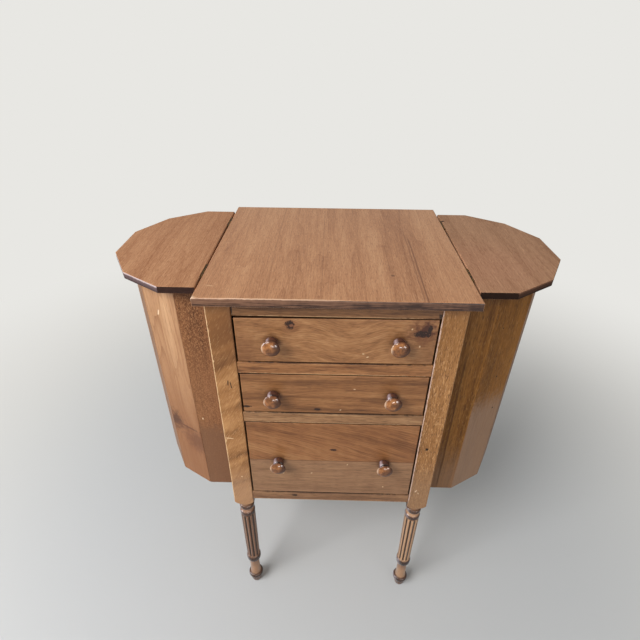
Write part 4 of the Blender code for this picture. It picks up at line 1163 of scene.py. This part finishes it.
def screwTree():  # puts a slotted head on every point
    tree, given = newTree("slotted_screws", "Head Radius", "Head Height", "Slot Width", "Facing",
                          Seed="Int")
    wire = Wire(tree)
    radius, height = given["Head Radius"], given["Head Height"]
    head = wire.add("GeometryNodeMeshCylinder", {}, {"Vertices": hingeScrews["sides"], "Radius": radius,
                                                     "Depth": height})
    bar = wire.vector(radius * 3, given["Slot Width"], height)
    lift = wire.vector(0, 0, height * hingeScrews["slotLift"])
    cut = wire.add("GeometryNodeMeshCube", {}, {"Size": bar})
    cut = wire.add("GeometryNodeTransform", {}, {"Geometry": cut, "Translation": lift})
    slotted = wire.add("GeometryNodeMeshBoolean", {"operation": "DIFFERENCE"},
                       {"Mesh 1": head, "Mesh 2": cut})
    spin = wire.add("FunctionNodeRandomValue", {"data_type": "FLOAT"},
                    {2: 0.0, 3: math.pi, "Seed": given["Seed"]}, 1)
    screws = wire.add("GeometryNodeInstanceOnPoints", {}, {"Points": given["Geometry"], "Instance": slotted,
                                                           "Rotation": wire.vector(0, given["Facing"], 0)})
    screws = wire.add("GeometryNodeRotateInstances", {}, {"Instances": screws,
                                                          "Rotation": wire.vector(0, 0, spin)})
    closeTree(screws, given["Finish"])
    return tree


def makeScrews(brass):
    screw = hingeScrews
    tree = screwTree()
    for side, outward in (("left", -1), ("right", 1)):
        for leaf, facing in (("lid", -outward), ("top", outward)):
            places = []
            for end in ("front", "back"):
                low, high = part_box(side + "_" + end + "_hinge_" + leaf + "_leaf")
                face = low.x + screw["leafThickness"] if facing > 0 else high.x - screw["leafThickness"]
                across = face + facing * (screw["headHeight"] / 2 - screw["sunk"])
                middle = (low.y + high.y) / 2
                for step in (-1, 0, 1):
                    places.append((across, middle + step * screw["spacing"], low.z + screw["aboveFoot"]))
            points = bpy.data.meshes.new("screw_places")
            points.from_pydata(places, [], [])
            name = side + "_" + leaf + "_hinge_screws"
            mesh = runTree(name, points, tree, {
                "Head Radius": screw["headRadius"], "Head Height": screw["headHeight"],
                "Slot Width": screw["slotWidth"], "Facing": facing * math.pi / 2, "Seed": screw["seed"],
                "Finish": brass})
            piece = addObject(name, mesh)
            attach(piece, bodyOf[side + "_front_hinge_" + leaf + "_leaf"])


brassFinish = agedBrass()
dressCad(brassFinish)
makeScrews(brassFinish)
print("CAD pieces dressed, hinge screws done")

# Stage, light and camera

backdrop = {"floor": (204, 207, 210), "far": (226, 224, 219), "seen": (232, 231, 227), "light": 0.36,
            "glossLight": 0.25, "size": 40.0, "below": 0.0004, "rough": 0.7, "fade": (0.5, 1.6),
            "vanish": (0.35, 1.8)}


def makeStage():
    bpy.ops.mesh.primitive_plane_add(size=backdrop["size"], location=(0, 0, -backdrop["below"]))
    floor = bpy.context.object
    floor.name = "floor"
    material, wire, shader = newFinish("pale_floor")
    x, y, z = wire.add("ShaderNodeTexCoord", {}, {}, "Object").parts()
    distance = (x * x + y * y) ** 0.5
    stops = [(0.0, paint(*backdrop["floor"])), (1.0, paint(*backdrop["far"]))]
    feed(wire, shader, Base_Color=distance.rise(*backdrop["fade"]).ramp(stops), Roughness=backdrop["rough"])
    # Far off, the floor runs into the backdrop
    hidden = wire.add("ShaderNodeLightPath", {}, {}, "Is Camera Ray") * distance.rise(*backdrop["vanish"])
    plain = wire.add("ShaderNodeEmission", {}, {"Color": paint(*backdrop["seen"]), "Strength": 1.0})
    lit = Wire(wire.tree, shader.outputs[0])
    joined = wire.add("ShaderNodeMixShader", {}, {0: hidden, 1: lit, 2: plain})
    wire.tree.links.new(joined.socket, wire.tree.nodes["Material Output"].inputs[0])
    dress(floor, material)


def makeWorld():
    world = bpy.data.worlds.new("studio")
    bpy.context.scene.world = world
    world.use_nodes = True
    wire = Wire(world.node_tree)
    back = world.node_tree.nodes["Background"]
    camera = wire.add("ShaderNodeLightPath", {}, {}, "Is Camera Ray")
    light = backdrop["light"]
    seen = camera.maths("MAXIMUM", camera, camera.other("Is Transmission Ray"))
    strength = light + seen * (1 - light) + camera.other("Is Glossy Ray") * backdrop["glossLight"]
    feed(wire, back, Color=paint(*backdrop["seen"]), Strength=strength)


Lamp = namedtuple("Lamp", "place size power colour target onlyGloss", defaults=((0, 0, 0.5), False))
studioLamps = {
    "high_left": Lamp((-1.5, -1.5, 2.3), (1.4, 1.2), 67, (1.0, 0.985, 0.96), target=(0, 0, 0.45)),
    "low_left": Lamp((-2.1, -0.7, 0.75), (0.32, 1.3), 6, (0.90, 0.94, 1.0)),
    "left_glint": Lamp((-1.95, -0.65, 1.15), (0.8, 1.1), 42, (0.97, 0.93, 1.0), onlyGloss=True),
    "low_right": Lamp((1.2, -1.8, 0.6), (1.2, 1.2), 5.0, (1.0, 0.98, 0.95)),
    "front_glint": Lamp((0.20, -2.10, 0.70), (0.55, 0.55), 19, (1.0, 0.97, 0.97), onlyGloss=True),
    "right_glint": Lamp((1.30, -1.9, 0.85), (0.55, 0.55), 19, (1.0, 0.97, 0.97), onlyGloss=True),
}


def makeLight():
    for name, lamp in studioLamps.items():
        data = bpy.data.lights.new(name, "AREA")
        data.shape = "RECTANGLE"
        data.size, data.size_y = lamp.size
        data.energy = lamp.power
        data.color = lamp.colour
        made = addObject(name, data)
        made.location = lamp.place
        made.rotation_euler = (Vector(lamp.target) - Vector(lamp.place)).to_track_quat("-Z", "Y").to_euler()
        made.visible_diffuse = not lamp.onlyGloss


photoCamera = {"place": (-0.0117, -0.6516, 1.0291), "focal": 443.7155, "frame": 640, "sensor": 36.0,
               "down": 33.29, "yaw": 1.13, "roll": -0.47, "clip": (0.01, 60.0)}


def makeCamera():
    view = photoCamera
    data = bpy.data.cameras.new("camera")
    data.sensor_width = view["sensor"]
    data.lens = view["focal"] / view["frame"] * view["sensor"]
    data.clip_start, data.clip_end = view["clip"]
    camera = addObject("camera", data)
    level = Matrix.Rotation(math.pi / 2, 4, "X")  # looks along +Y
    yaw = Matrix.Rotation(math.radians(view["yaw"]), 4, "Z")
    tilt = Matrix.Rotation(math.radians(-view["down"]), 4, "X")
    roll = Matrix.Rotation(math.radians(view["roll"]), 4, "Y")
    camera.matrix_world = Matrix.Translation(view["place"]) @ yaw @ tilt @ roll @ level
    bpy.context.scene.camera = camera


makeStage()
makeWorld()
makeLight()
makeCamera()
bpy.context.scene.view_settings.view_transform = "Standard"
print("stage done")
